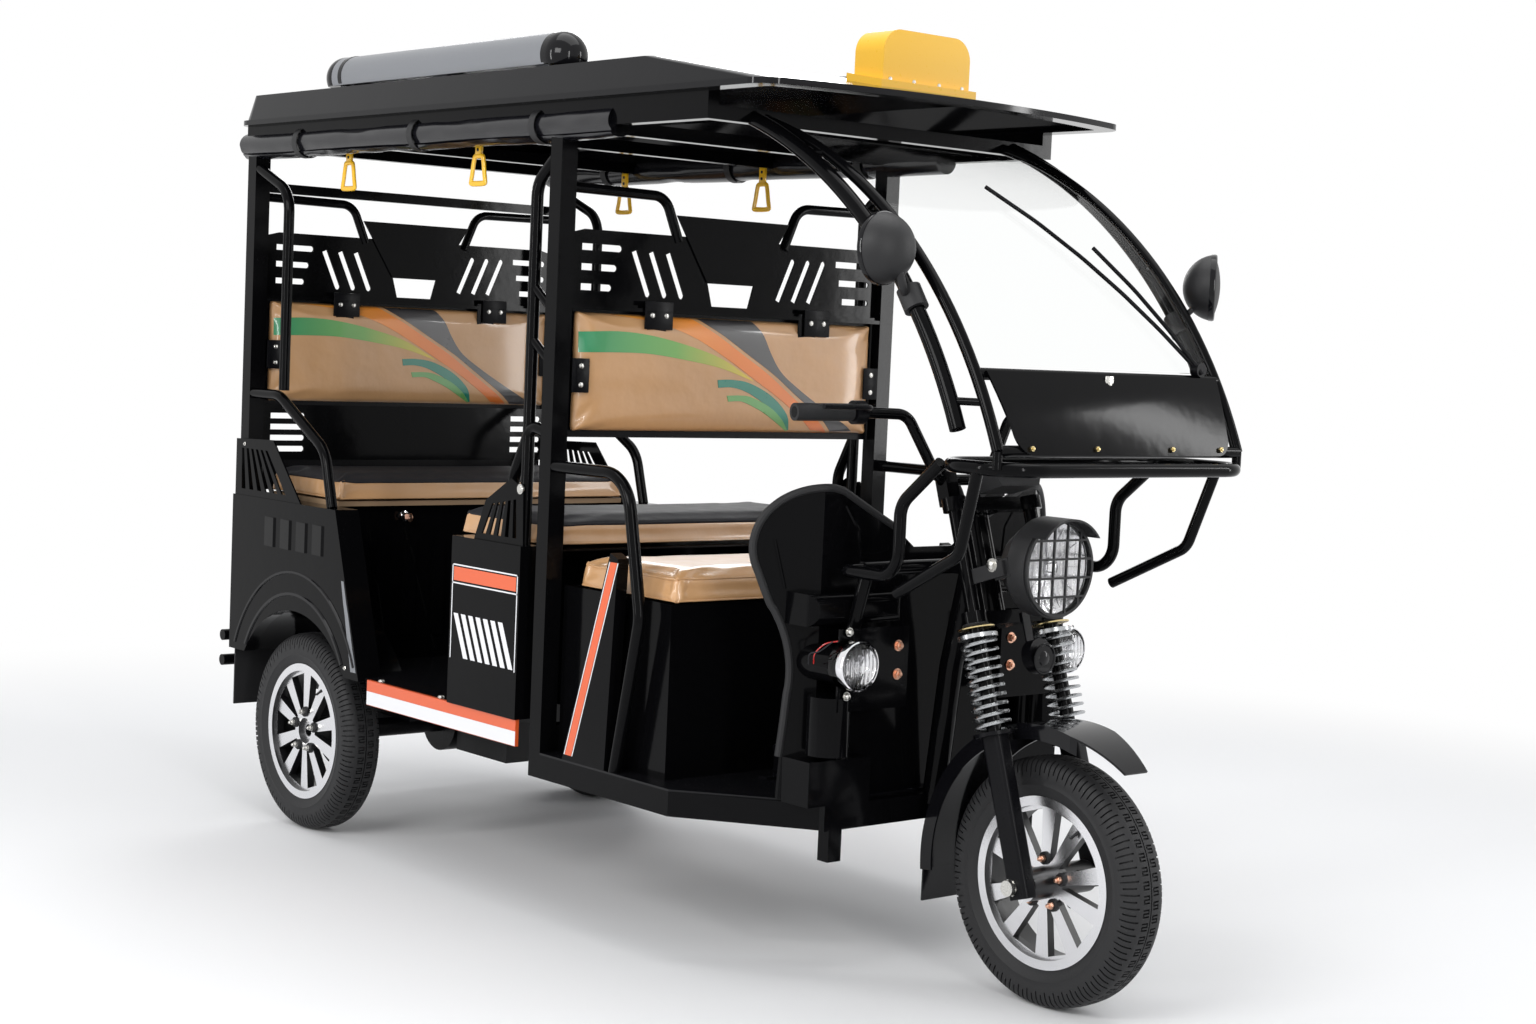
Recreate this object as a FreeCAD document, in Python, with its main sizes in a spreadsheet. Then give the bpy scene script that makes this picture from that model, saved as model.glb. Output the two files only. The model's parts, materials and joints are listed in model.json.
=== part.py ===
"""Electric passenger rickshaw: three wheels, two facing benches, a driver's bench and a hard roof.

Millimetres. +Z is up, the vehicle's front faces -Y and its left side is +X. The origin lies on the ground
under the middle of the vehicle's box. A station is a distance behind the front axle.
"""
import FreeCAD, Part, Sketcher

import math
import os

from FreeCAD import Placement, Rotation, Vector

# Driving sizes: the name, the value in millimetres or degrees, and what it measures
SIZES = [
    ("front_axle_ahead", 1102, "front axle ahead of the origin"),
    ("wheel_base", 2060, "front axle to rear axle"),
    ("body_half", 495, "fender face from the middle plane"),
    ("wheel_inset", 71, "middle of a rear tyre inside the fender face"),
    ("post_inset", 15, "post face inside the fender face"),
    ("seat_inset", 63, "cushion end inside the fender face"),
    ("tub_width", 155, "wheel tub across"),
    ("tyre_radius", 240, "tyre outside radius, which is the axle height"),
    ("tyre_width", 96, "tyre section width"),
    ("tyre_crown_half", 24, "flat of the tyre's crown from its middle"),
    ("tyre_shoulder_half", 40, "tyre shoulder from its middle"),
    ("tyre_shoulder_drop", 9, "tyre shoulder below the crown"),
    ("tyre_wall_drop", 42, "widest place of the tyre below the crown"),
    ("bead_rise", 4, "tyre bead above the rim flange"),
    ("rim_flange_radius", 165, "outside radius of the rim flange"),
    ("rim_seat_radius", 154, "radius of the seat under the tyre bead"),
    ("rim_width", 80, "rim over its flanges"),
    ("rim_flange_thick", 4, "thickness of a rim flange"),
    ("rim_barrel_thick", 7, "thickness of the rim barrel"),
    ("spoke_thick", 18, "thickness of the spoke disc"),
    ("spoke_inset", 10, "spoke face behind the flange face"),
    ("hub_radius", 31, "wheel hub radius"),
    ("hub_clearance", 1, "front hub to fork leg"),
    ("rear_hub_inner", 48, "rear hub towards the drum, from the tyre's middle"),
    ("rear_hub_outer", 20, "rear hub outwards, from the tyre's middle"),
    ("axle_radius", 8, "front axle bolt"),
    ("axle_head", 12, "head and nut of the front axle bolt"),
    ("bore_clearance", 0.05, "running clearance of a bore round its shaft"),
    ("rake_angle", 18, "steering axis from vertical"),
    ("leg_ahead", 12, "fork leg line ahead of the axle"),
    ("stem_behind", 38, "steering axis behind the axle"),
    ("leg_spread", 104, "fork leg line from the middle plane"),
    ("leg_width", 34, "fork leg across"),
    ("leg_depth", 48, "fork leg fore and aft"),
    ("leg_top", 285, "fork leg top along the rake"),
    ("leg_bottom", -24, "fork leg bottom along the rake"),
    ("stanchion_radius", 14, "fork stanchion"),
    ("spring_seat", 7, "thickness of the collar under a spring"),
    ("spring_washer", 8, "thickness of the washer on a spring"),
    ("spring_radius", 33, "spring, to the middle of its wire"),
    ("spring_wire", 3.6, "radius of the spring wire"),
    ("spring_turns", 10, "turns of the fork spring"),
    ("yoke_thick", 26, "thickness of a fork yoke"),
    ("lower_yoke", 498, "underside of the lower yoke along the rake"),
    ("yoke_step", 224, "lower yoke's underside to the upper yoke's"),
    ("yoke_lobe", 24, "yoke lobe round a stanchion"),
    ("stem_radius", 15, "steering stem"),
    ("head_radius", 25, "head tube outside radius"),
    ("head_gap", 3, "head tube to each yoke"),
    ("bar_radius", 11, "handlebar tube"),
    ("bar_spread", 46, "handlebar riser from the middle plane"),
    ("bar_clamp", 52, "handlebar clamp above the upper yoke"),
    ("bar_behind", 17, "handlebar clamp behind the steering axis"),
    ("bar_rise", 126, "grips above the clamp along the rake"),
    ("bar_reach", 400, "handlebar end from the middle plane"),
    ("grip_length", 128, "handlebar grip"),
    ("grip_radius", 17, "handlebar grip radius"),
    ("lamp_radius", 96, "headlamp shell radius"),
    ("lamp_back_radius", 62, "headlamp shell radius at its back"),
    ("lamp_straight", 44, "straight front part of the headlamp shell"),
    ("lamp_depth", 92, "headlamp shell depth"),
    ("lamp_ahead", 146, "headlamp middle ahead of the steering axis"),
    ("lamp_height", 590, "headlamp middle along the rake"),
    ("visor_reach", 34, "headlamp peak ahead of the shell"),
    ("lamp_wall", 6, "wall of the headlamp shell"),
    ("guard_pitch", 36, "spacing of the headlamp guard's wires"),
    ("guard_wire", 4, "headlamp guard wire"),
    ("horn_aside", 28, "horn to the left of the middle plane"),
    ("spring_cover", 18, "dust cover between a spring's washer and the lower yoke"),
    ("guard_radius", 300, "front mudguard inside radius"),
    ("guard_width", 124, "front mudguard width"),
    ("guard_thick", 4, "front mudguard sheet"),
    ("guard_skirt", 26, "front mudguard skirt"),
    ("post_size", 40, "square post"),
    ("middle_post", 1050, "station of the middle posts"),
    ("rear_post_behind", 300, "rear posts behind the rear axle"),
    ("loop_radius", 13, "bent tubes beside the posts"),
    ("rail_width", 40, "chassis rail across"),
    ("rail_height", 60, "chassis rail height"),
    ("rail_spread", 250, "chassis rail from the middle plane"),
    ("beam_height", 50, "chassis cross beam height"),
    ("cabin_floor", 415, "top of the passenger floor"),
    ("driver_floor", 356, "top of the driver's floor"),
    ("sheet_thick", 4, "body and floor sheet"),
    ("front_beam", 345, "station of the front cross beam"),
    ("front_beam_half", 300, "front cross beam from the middle plane"),
    ("taper_station", 590, "station where the driver's floor starts to taper"),
    ("cross_height", 812, "steering cross tube above the ground"),
    ("driver_seat_front", 650, "station of the driver's cushion front"),
    ("driver_seat_depth", 342, "driver's cushion fore and aft"),
    ("driver_seat_top", 772, "top of the driver's cushion"),
    ("cushion_thick", 62, "cushion"),
    ("cushion_round", 16, "rounding of a cushion's edges"),
    ("seat_overhang", 50, "bench box shorter than its cushion"),
    ("driver_box_inset", 14, "front of the driver's bench box behind its cushion's"),
    ("rear_box_inset", 30, "front of the rear bench box behind its cushion's"),
    ("lid_thick", 12, "rear seat lid"),
    ("bench_depth", 350, "passenger cushion fore and aft"),
    ("middle_seat_top", 842, "top of the rear-facing cushion"),
    ("rear_seat_top", 870, "top of the rear cushion"),
    ("rear_seat_front", 1972, "station of the rear cushion front"),
    ("back_gap", 16, "backrest end to post"),
    ("back_bottom", 1028, "backrest bottom"),
    ("back_top", 1290, "backrest top"),
    ("back_thick", 28, "backrest"),
    ("plate_height", 168, "slotted plate above a backrest"),
    ("crest_rise", 44, "crest plate above the slotted plate"),
    ("crest_top_half", 160, "crest plate at its top, from the middle plane"),
    ("crest_foot_half", 52, "crest plate at its foot, from the middle plane"),
    ("low_plate_bottom", 884, "foot of the slotted plate behind the rear cushion"),
    ("slot_radius", 7, "rounded end of a slot in a plate"),
    ("roof_over", 5, "roof rim outside the fender face"),
    ("roof_front", 300, "station of the roof's front edge"),
    ("roof_nose", 60, "bow of the roof's front edge"),
    ("roof_behind", 58, "roof rim behind the rear posts"),
    ("roof_rim", 1716, "underside of the roof rim"),
    ("roof_rise", 76, "roof deck above the underside of the rim"),
    ("roof_lip", 12, "depth of the roof's upright rim"),
    ("roof_ledge", 10, "roof wall inside the rim"),
    ("roof_lean", 18, "lean of the roof's side walls"),
    ("roof_slope", 390, "length of the slope behind the front edge"),
    ("roof_flange", 45, "roof flange turned in over the rails"),
    ("roof_corner", 60, "roof corner radius"),
    ("roof_thick", 5, "roof sheet"),
    ("panel_rise", 10, "raised middle of the roof deck"),
    ("panel_half", 270, "raised middle of the deck from the middle plane"),
    ("roof_tube", 28, "square roof frame tube"),
    ("roof_rail", 56, "depth of the roof's side rails"),
    ("roof_bow", 556, "station of the front roof bow"),
    ("bow_step", 560, "spacing of the roof bows behind the first"),
    ("first_bow", 380, "first roof bow behind the middle posts"),
    ("pillar_radius", 15, "outer windscreen tube"),
    ("screen_radius", 11, "inner windscreen tube"),
    ("screen_half", 332, "inner windscreen tube from the middle plane"),
    ("pillar_step", 30, "outer windscreen tube beside the inner one"),
    ("screen_curve", 1004, "radius of the inner windscreen tube's bow"),
    ("screen_centre", 824, "station of that bow's centre"),
    ("pillar_curve", 1030, "radius of the outer windscreen tube's bow"),
    ("pillar_centre", 910, "station of that bow's centre"),
    ("curve_height", 702, "height of both bows' centres"),
    ("screen_foot", 1066, "height of the windscreen's lowest bar"),
    ("screen_bar", 1200, "height of the bar under the glass"),
    ("glass_gap", 3, "glass to the bar under it"),
    ("glass_top", 1640, "top of the glass"),
    ("glass_thick", 5, "windscreen glass"),
    ("panel_foot_half", 296, "front panel at its foot, from the middle plane"),
    ("panel_corner", 40, "front panel's lower corners"),
    ("hoop_radius", 13, "nose hoop tube"),
    ("hoop_height", 1034, "nose hoop above the ground"),
    ("hoop_front", 150, "nose hoop ahead of the front axle"),
    ("hoop_back", 52, "station of the nose hoop's back"),
    ("mirror_radius", 66, "mirror head"),
    ("mirror_depth", 60, "depth of a mirror's housing"),
    ("mirror_bulge", 14, "bulge of a mirror's glass"),
    ("cowl_half", 405, "cowl from the middle plane"),
    ("cowl_face", 372, "station of the cowl's middle face"),
    ("cowl_side", 452, "station of the cowl's outer edges"),
    ("cowl_top", 966, "top of a cowl lobe"),
    ("cowl_waist", 560, "height of the cowl's waist"),
    ("lobe_radius", 118, "radius of a cowl lobe"),
    ("waist_radius", 280, "radius of the cowl's hollow sides"),
    ("cowl_bottom", 356, "foot of the cowl"),
    ("cowl_sheet", 4, "cowl sheet"),
    ("indicator_x", 293, "front indicator from the middle plane"),
    ("indicator_station", 262, "station of the front indicator's face"),
    ("indicator_height", 633, "front indicator above the ground"),
    ("indicator_radius", 48, "front indicator"),
    ("indicator_depth", 34, "front indicator fore and aft"),
    ("side_box_top", 785, "top of a side box"),
    ("side_box_depth", 264, "side box fore and aft"),
    ("side_gap", 36, "side box behind the middle post"),
    ("sill_height", 58, "sill board under the passenger floor"),
    ("fender_front", 1878, "station of the fender's front at its top"),
    ("fender_foot", 1749, "station of the fender's front at its foot"),
    ("fender_arch", 296, "wheel arch radius"),
    ("arch_flare", 14, "width of the flare round the arch"),
    ("body_bottom", 407, "lower edge of the rear body"),
    ("curtain_radius", 38, "rolled curtain"),
    ("curtain_gap", 10, "rolled curtain under the roof rim"),
    ("pod_radius", 50, "roof pod radius"),
    ("pod_half", 420, "roof pod from the middle plane"),
    ("pod_lift", 27, "roof pod's middle above the deck"),
    ("pod_start", 1130, "station of a roof pod's front cap"),
    ("pod_length", 870, "roof pod between its caps"),
    ("pod_cap", 60, "length of a roof pod's rounded cap"),
    ("sign_width", 240, "roof sign across"),
    ("sign_depth", 84, "roof sign fore and aft"),
    ("sign_station", 500, "station of the roof sign"),
    ("sign_top", 76, "roof sign above the roof deck"),
    ("axle_tube_radius", 30, "rear axle tube"),
    ("drum_radius", 92, "rear brake drum"),
    ("spindle_radius", 15, "rear wheel spindle"),
    ("bumper_behind", 370, "rear bumper bars behind the rear axle"),
    ("bumper_half", 490, "rear bumper bar from the middle plane"),
    ("bumper_radius", 14, "rear bumper bar"),
    ("bumper_high", 432, "upper bumper bar above the ground"),
    ("bumper_low", 368, "lower bumper bar above the ground"),
    ("motor_length", 222, "drive motor fore and aft"),
    ("motor_side", 150, "drive motor across and in height"),
]


class Size:
    """A size with its number and the spreadsheet expression that gives it, so features stay bound."""

    def __init__(self, value, text):
        self.value = value
        self.text = text

    def _with(self, other, sign, swap=False):
        left, right = (other, self) if swap else (self, other)
        a = left.value if isinstance(left, Size) else left
        b = right.value if isinstance(right, Size) else right
        value = {"+": lambda: a + b, "-": lambda: a - b, "*": lambda: a * b, "/": lambda: a / b}[sign]()
        words = [s.text if isinstance(s, Size) else repr(float(s)) for s in (left, right)]
        return Size(value, "(%s %s %s)" % (words[0], sign, words[1]))

    def __add__(self, other):
        return self._with(other, "+")

    def __radd__(self, other):
        return self._with(other, "+", True)

    def __sub__(self, other):
        return self._with(other, "-")

    def __rsub__(self, other):
        return self._with(other, "-", True)

    def __mul__(self, other):
        return self._with(other, "*")

    def __rmul__(self, other):
        return self._with(other, "*", True)

    def __truediv__(self, other):
        return self._with(other, "/")

    def __neg__(self):
        return self._with(-1.0, "*")

    def __float__(self):
        return float(self.value)


doc = FreeCAD.newDocument("ElectricRickshaw")
sheet = doc.addObject("Spreadsheet::Sheet", "sizes")


class Sizes:
    """The driving sizes as attributes."""


S = Sizes()
for line, (alias, number, meaning) in enumerate(SIZES, start=1):
    sheet.set("A%d" % line, meaning)
    sheet.set("B%d" % line, str(number))
    sheet.setAlias("B%d" % line, alias)
    setattr(S, alias, Size(float(number), "sizes.%s" % alias))
doc.recompute()

# Places that several pieces share, worked out from the driving sizes
FRONT_AXLE = -1 * S.front_axle_ahead
REAR_AXLE = FRONT_AXLE + S.wheel_base
MIDDLE_POST = FRONT_AXLE + S.middle_post
REAR_POST = REAR_AXLE + S.rear_post_behind
POST_HALF = S.body_half - S.post_inset
SEAT_HALF = S.body_half - S.seat_inset
TUB_WALL = S.body_half - S.tub_width
WHEEL_X = S.body_half - S.wheel_inset
BACK_HALF = POST_HALF - S.post_size - S.back_gap
ROOF_HALF = S.body_half + S.roof_over
UPPER_YOKE = S.lower_yoke + S.yoke_step
BAR_CLAMP = UPPER_YOKE + S.yoke_thick + S.bar_clamp
SPRING_BOTTOM = S.leg_top + S.spring_seat
SPRING_TOP = S.lower_yoke - S.spring_washer - S.spring_cover
LEG_Y = -1 * S.leg_ahead
BEAM_TOP = S.driver_floor - S.sheet_thick
BEAM_BOTTOM = BEAM_TOP - S.beam_height
DECK_TOP = S.cabin_floor - S.sheet_thick
LID_BOTTOM = S.rear_seat_top - S.cushion_thick - S.lid_thick
FENDER_TOP = LID_BOTTOM + 1
POST_TOP = S.roof_rim - S.roof_rail
ROOF_DECK = S.roof_rim + S.roof_rise
BACK_PANEL = REAR_POST + S.post_size / 2 + S.sheet_thick
FLOOR_FRONT = MIDDLE_POST + S.post_size / 2 + S.bench_depth - S.seat_overhang
ALONG_X = Rotation(Vector(0, 1, 0), 90)
ALONG_Y = Rotation(Vector(1, 0, 0), -90)
FAR = 2000.0

# Helpers that bind features to the sheet

PIECES = {}


def node(shape, label):
    """Names an object as a sub-part that is written to its own file."""
    shape.Label = label
    PIECES[label] = shape
    return shape


def bind(thing, prop, value):
    """Keeps a property bound to the sheet when its value is a Size."""
    if isinstance(value, Size):
        thing.setExpression(prop, value.text)


def place(thing, x=0, y=0, z=0, rotation=Rotation()):
    thing.Placement = Placement(Vector(float(x), float(y), float(z)), rotation)
    for axis, value in (("x", x), ("y", y), ("z", z)):
        bind(thing, "Placement.Base." + axis, value)
    return thing


def primitive(kind, sizes, x, y, z, rotation=Rotation()):
    """A Part primitive with its sizes bound to the sheet."""
    thing = doc.addObject("Part::" + kind, kind)
    for prop, value in sizes.items():
        setattr(thing, prop, float(value))
        bind(thing, prop, value)
    return place(thing, x, y, z, rotation)


def box(x, y, z, dx, dy, dz):
    """A box from its lowest corner and its sides."""
    return primitive("Box", {"Length": dx, "Width": dy, "Height": dz}, x, y, z)


def cylinder(x, y, z, radius, length, rotation=Rotation()):
    return primitive("Cylinder", {"Radius": radius, "Height": length}, x, y, z, rotation)


def fuse(things):
    thing = doc.addObject("Part::MultiFuse", "Fuse")
    thing.Shapes = things
    return thing


def cut(base, tool):
    thing = doc.addObject("Part::Cut", "Cut")
    thing.Base, thing.Tool = base, tool
    return thing


def common(things):
    thing = doc.addObject("Part::MultiCommon", "Common")
    thing.Shapes = things
    return thing


def compound(things):
    thing = doc.addObject("Part::Compound", "Compound")
    thing.Links = things
    return thing


def mirrored(thing):
    """The same piece on the vehicle's other side."""
    other = doc.addObject("Part::Mirroring", "Mirror")
    other.Source, other.Normal, other.Base = thing, Vector(1, 0, 0), Vector(0, 0, 0)
    return other


def both_sides(thing):
    return compound([thing, mirrored(thing)])


def shape_object(shape):
    """A Part feature for a form that no primitive or sketch gives, such as a tube bent in space."""
    thing = doc.addObject("Part::Feature", "Feature")
    thing.Shape = shape
    return thing


def softened(thing, radius, wanted):
    """Rounds the edges of a piece that the function wanted picks."""
    soft = doc.addObject("Part::Fillet", "SoftEdges")
    soft.Base = thing
    doc.recompute()
    soft.Edges = [(i + 1, float(radius), float(radius)) for i, e in enumerate(thing.Shape.Edges) if wanted(e)]
    return soft


def new_body():
    return doc.addObject("PartDesign::Body", "Body")


def origin_feature(body, role):
    return [f for f in body.Origin.OriginFeatures if f.Role == role][0]


def arc_between(a, b, radius):
    """The arc from a to b that bulges to the left of travel, or to the right for a negative radius."""
    chord = b - a
    half = chord.Length / 2
    r = max(abs(radius), half * 1.0001)
    left = Vector(-chord.y, chord.x, 0).normalize() * (1 if radius > 0 else -1)
    middle = (a + b) / 2
    centre = middle - left * math.sqrt(r * r - half * half)
    return Part.Arc(a, centre + (middle + left * half - centre).normalize() * r, b)


def outline(body, plane, loops):
    """A sketch of closed loops on a plane of the body, each corner bound to the sheet.

    A loop is a list of corners (u, v) or (u, v, radius). A radius makes the side that starts there an arc
    that bulges to the left of travel, and a negative one an arc that bulges to the right.
    """
    sketch = body.newObject("Sketcher::SketchObject", "Outline")
    sketch.AttachmentSupport = [(origin_feature(body, plane), "")]
    sketch.MapMode = "FlatFace"
    geometry, rules = [], []
    for loop in loops:
        first = len(geometry)
        ends = []
        for i, corner in enumerate(loop):
            following = loop[(i + 1) % len(loop)]
            a = Vector(float(corner[0]), float(corner[1]), 0)
            b = Vector(float(following[0]), float(following[1]), 0)
            if len(corner) == 2:
                geometry.append(Part.LineSegment(a, b))
                ends.append((1, 2))
                continue
            bulge = float(corner[2])
            geometry.append(arc_between(a, b, bulge) if bulge < 0 else arc_between(b, a, -bulge))
            ends.append((1, 2) if bulge < 0 else (2, 1))
            rules.append((("Radius", first + i), corner[2] if bulge > 0 else -1 * corner[2]))
        for i, corner in enumerate(loop):
            n, following = first + i, first + (i + 1) % len(loop)
            rules.append((("Coincident", n, ends[i][1], following, ends[(i + 1) % len(loop)][0]), None))
            rules.append((("DistanceX", -1, 1, n, ends[i][0]), corner[0]))
            rules.append((("DistanceY", -1, 1, n, ends[i][0]), corner[1]))
    sketch.addGeometry(geometry, False)
    for index, (rule, value) in enumerate(rules):
        sketch.addConstraint(Sketcher.Constraint(*(rule if value is None else rule + (float(value),))))
        bind(sketch, "Constraints[%d]" % index, value)
    return sketch


def pad(body, sketch, length, midplane=False):
    feature = body.newObject("PartDesign::Pad", "Pad")
    feature.Profile = sketch
    feature.Length = float(length)
    bind(feature, "Length", length)
    feature.Midplane = midplane
    body.Tip = feature
    return feature


def plate(plane, loop, thickness, x=0, y=0, z=0):
    """A flat piece padded both ways from a plane through (x, y, z)."""
    body = new_body()
    pad(body, outline(body, plane, [loop]), thickness, midplane=True)
    return place(body, x, y, z)


def spin(body, sketch):
    """Revolves a sketch about the body's X axis."""
    feature = body.newObject("PartDesign::Revolution", "Revolution")
    feature.Profile = sketch
    feature.ReferenceAxis = (origin_feature(body, "X_Axis"), [""])
    feature.Angle = 360
    body.Tip = feature


def path_of(points, bend):
    """A wire of straight runs through the points, joined by tangent arcs."""
    spots = [Vector(*[float(c) for c in p]) for p in points]
    edges, start = [], spots[0]
    for before, corner, after in zip(spots, spots[1:], spots[2:]):
        to_before, to_after = (before - corner), (after - corner)
        half_turn = (math.pi - to_before.getAngle(to_after)) / 2
        shortest = min(to_before.Length, to_after.Length)
        reach = min(bend * math.tan(half_turn), 0.45 * shortest)
        radius = reach / math.tan(half_turn)
        inward = (to_before.normalize() + to_after.normalize()).normalize()
        middle = corner + inward * (radius / math.cos(half_turn) - radius)
        first, last = corner + to_before * reach, corner + to_after * reach
        edges += [Part.makeLine(start, first), Part.Arc(first, middle, last).toShape()]
        start = last
    edges.append(Part.makeLine(start, spots[-1]))
    return Part.Wire(edges)


def swept(path, radius):
    """A round rod along a wire."""
    start = path.Edges[0]
    direction = start.tangentAt(start.FirstParameter)
    ring = Part.Wire([Part.makeCircle(float(radius), start.valueAt(start.FirstParameter), direction)])
    return shape_object(path.makePipeShell([ring], True, True))


def tube(points, radius, bend=60):
    """A round tube along straight runs and tangent arcs."""
    return swept(path_of(points, bend), radius)


def on_other_side(points):
    """Points of a piece on the vehicle's right, repeated on its left."""
    return [(-1 * p[0],) + tuple(p[1:]) for p in points]


def tube_pair(points, radius, bend=60):
    return [tube(points, radius, bend), tube(on_other_side(points), radius, bend)]


def profile_prism(points, x0, x1):
    """A side outline of (row, height) points swept across the vehicle from x0 to x1."""
    wire = Part.makePolygon([Vector(float(x0), float(y), float(z)) for y, z in list(points) + [points[0]]])
    return shape_object(Part.Face(wire).extrude(Vector(float(x1) - float(x0), 0, 0)))


def plan_prism(points, z, height):
    """A plan outline of (x, row) points raised from a height."""
    wire = Part.makePolygon([Vector(float(x), float(y), float(z)) for x, y in list(points) + [points[0]]])
    return shape_object(Part.Face(wire).extrude(Vector(0, 0, float(height))))


def row(station):
    """The Y coordinate of a distance behind the front axle."""
    return station + FRONT_AXLE


def raked(thing):
    """Turns a piece made in the fork's own frame, whose origin is the front axle, onto the rake."""
    turn = Rotation(Vector(1, 0, 0), -S.rake_angle.value)
    thing = compound([thing])
    thing.Placement = Placement(Vector(0, -S.front_axle_ahead.value, S.tyre_radius.value), turn)
    thing.setExpression("Placement.Base.y", "-sizes.front_axle_ahead")
    thing.setExpression("Placement.Base.z", "sizes.tyre_radius")
    thing.setExpression("Placement.Rotation.Angle", "-sizes.rake_angle")
    return thing


def slot_tool(half_length, thickness, turn, x, y, z):
    """A round-ended slot through a plate that faces along Y, turned in the plate's plane."""
    r = S.slot_radius
    pieces = [cylinder(s * (half_length - r), -thickness / 2, 0, r, thickness, ALONG_Y) for s in (-1, 1)]
    flat = half_length - r
    pieces.append(box(-1 * flat, -thickness / 2, -1 * r, flat * 2, thickness, r * 2))
    return place(compound(pieces), x, y, z, Rotation(Vector(0, 1, 0), -turn))


def side_slots(corners, count, x):
    """Slanted slots through a side plate: a four-cornered area of (row, height) corners, cut into strips."""
    low_front, low_back, high_back, high_front = [Vector(0, float(y), float(z)) for y, z in corners]
    tools = []
    for k in range(count):
        a, b = (k + 0.25) / count, (k + 0.75) / count
        strip = [low_front + (low_back - low_front) * a, low_front + (low_back - low_front) * b,
                 high_front + (high_back - high_front) * b, high_front + (high_back - high_front) * a]
        tools.append(profile_prism([(p.y, p.z) for p in strip], x - 20, x + 20))
    return fuse(tools)


# Wheels

def tyre(x, y, label):
    """A tyre, turned about its axle."""
    seat_half = S.rim_width / 2 - S.rim_flange_thick
    right = [
        (seat_half, S.rim_seat_radius),
        (seat_half, S.rim_flange_radius + S.bead_rise),
        (S.tyre_width / 2, S.tyre_radius - S.tyre_wall_drop),
        (S.tyre_shoulder_half, S.tyre_radius - S.tyre_shoulder_drop),
        (S.tyre_crown_half, S.tyre_radius),
    ]
    left = [(-1 * across, radius) for across, radius in reversed(right)]
    body = new_body()
    spin(body, outline(body, "XY_Plane", [right + left]))
    return node(place(body, x, y, S.tyre_radius), label)


def rim(x, y, bore, outward, hub_in, hub_out, label):
    """A cast rim with ten spokes in five pairs. Its spoke face looks along outward, 1 or -1 on X."""
    half = S.rim_width / 2
    inner = half - S.rim_flange_thick
    flange = S.rim_flange_radius
    seat = S.rim_seat_radius
    under = S.rim_seat_radius - S.rim_barrel_thick
    face = (half - S.spoke_inset) * outward
    back = (half - S.spoke_inset - S.spoke_thick) * outward
    low, high = (back, face) if outward > 0 else (face, back)
    ring = [
        (-1 * half, under), (low, under), (low, S.hub_radius), (-1 * hub_in, S.hub_radius),
        (-1 * hub_in, bore), (hub_out, bore), (hub_out, S.hub_radius), (high, S.hub_radius), (high, under),
        (half, under),
        (half, flange), (inner, flange), (inner, seat), (-1 * inner, seat), (-1 * inner, flange),
        (-1 * half, flange),
    ]
    body = new_body()
    spin(body, outline(body, "XY_Plane", [ring]))
    for middle_angle, half_angle in ((0.0, 13.0), (36.0, 9.5)):
        pocket = body.newObject("PartDesign::Pocket", "SpokeGap")
        pocket.Profile = outline(body, "YZ_Plane", [gap_corners(middle_angle, half_angle, under)])
        pocket.Type = "ThroughAll"
        pocket.Midplane = True
        body.Tip = pocket
        pattern = body.newObject("PartDesign::PolarPattern", "SpokeGaps")
        pattern.Originals = [pocket]
        pattern.Axis = (origin_feature(body, "X_Axis"), [""])
        pattern.Angle = 360
        pattern.Occurrences = 5
        body.Tip = pattern
    return node(place(body, x, y, S.tyre_radius), label)


def gap_corners(middle_angle, half_angle, under):
    """The outline of one gap between spokes: narrow at the hub and wide at the barrel."""
    near, far = S.hub_radius + 16, under - 6
    corners = []
    for radius, turn in ((near, -0.45), (far, -1), (far, 1), (near, 0.45)):
        angle = math.radians(middle_angle + turn * half_angle)
        corners.append((radius * math.cos(angle), radius * math.sin(angle)))
    return corners


def build_wheels():
    hub = S.leg_spread - S.leg_width / 2 - S.hub_clearance
    tyre(0, FRONT_AXLE, "front_tyre")
    rim(0, FRONT_AXLE, S.axle_radius + S.bore_clearance, -1, hub, hub, "front_rim")
    for side, name in ((-1, "right"), (1, "left")):
        hub_in, hub_out = S.rear_hub_inner, S.rear_hub_outer
        low, high = (hub_in, hub_out) if side > 0 else (hub_out, hub_in)
        tyre(side * WHEEL_X, REAR_AXLE, "rear_tyre_" + name)
        bore = S.spindle_radius + S.bore_clearance
        rim(side * WHEEL_X, REAR_AXLE, bore, side, low, high, "rear_rim_" + name)


# Steering: pieces made in the fork's frame, whose Z runs up the rake and whose -Y points forward

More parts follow.
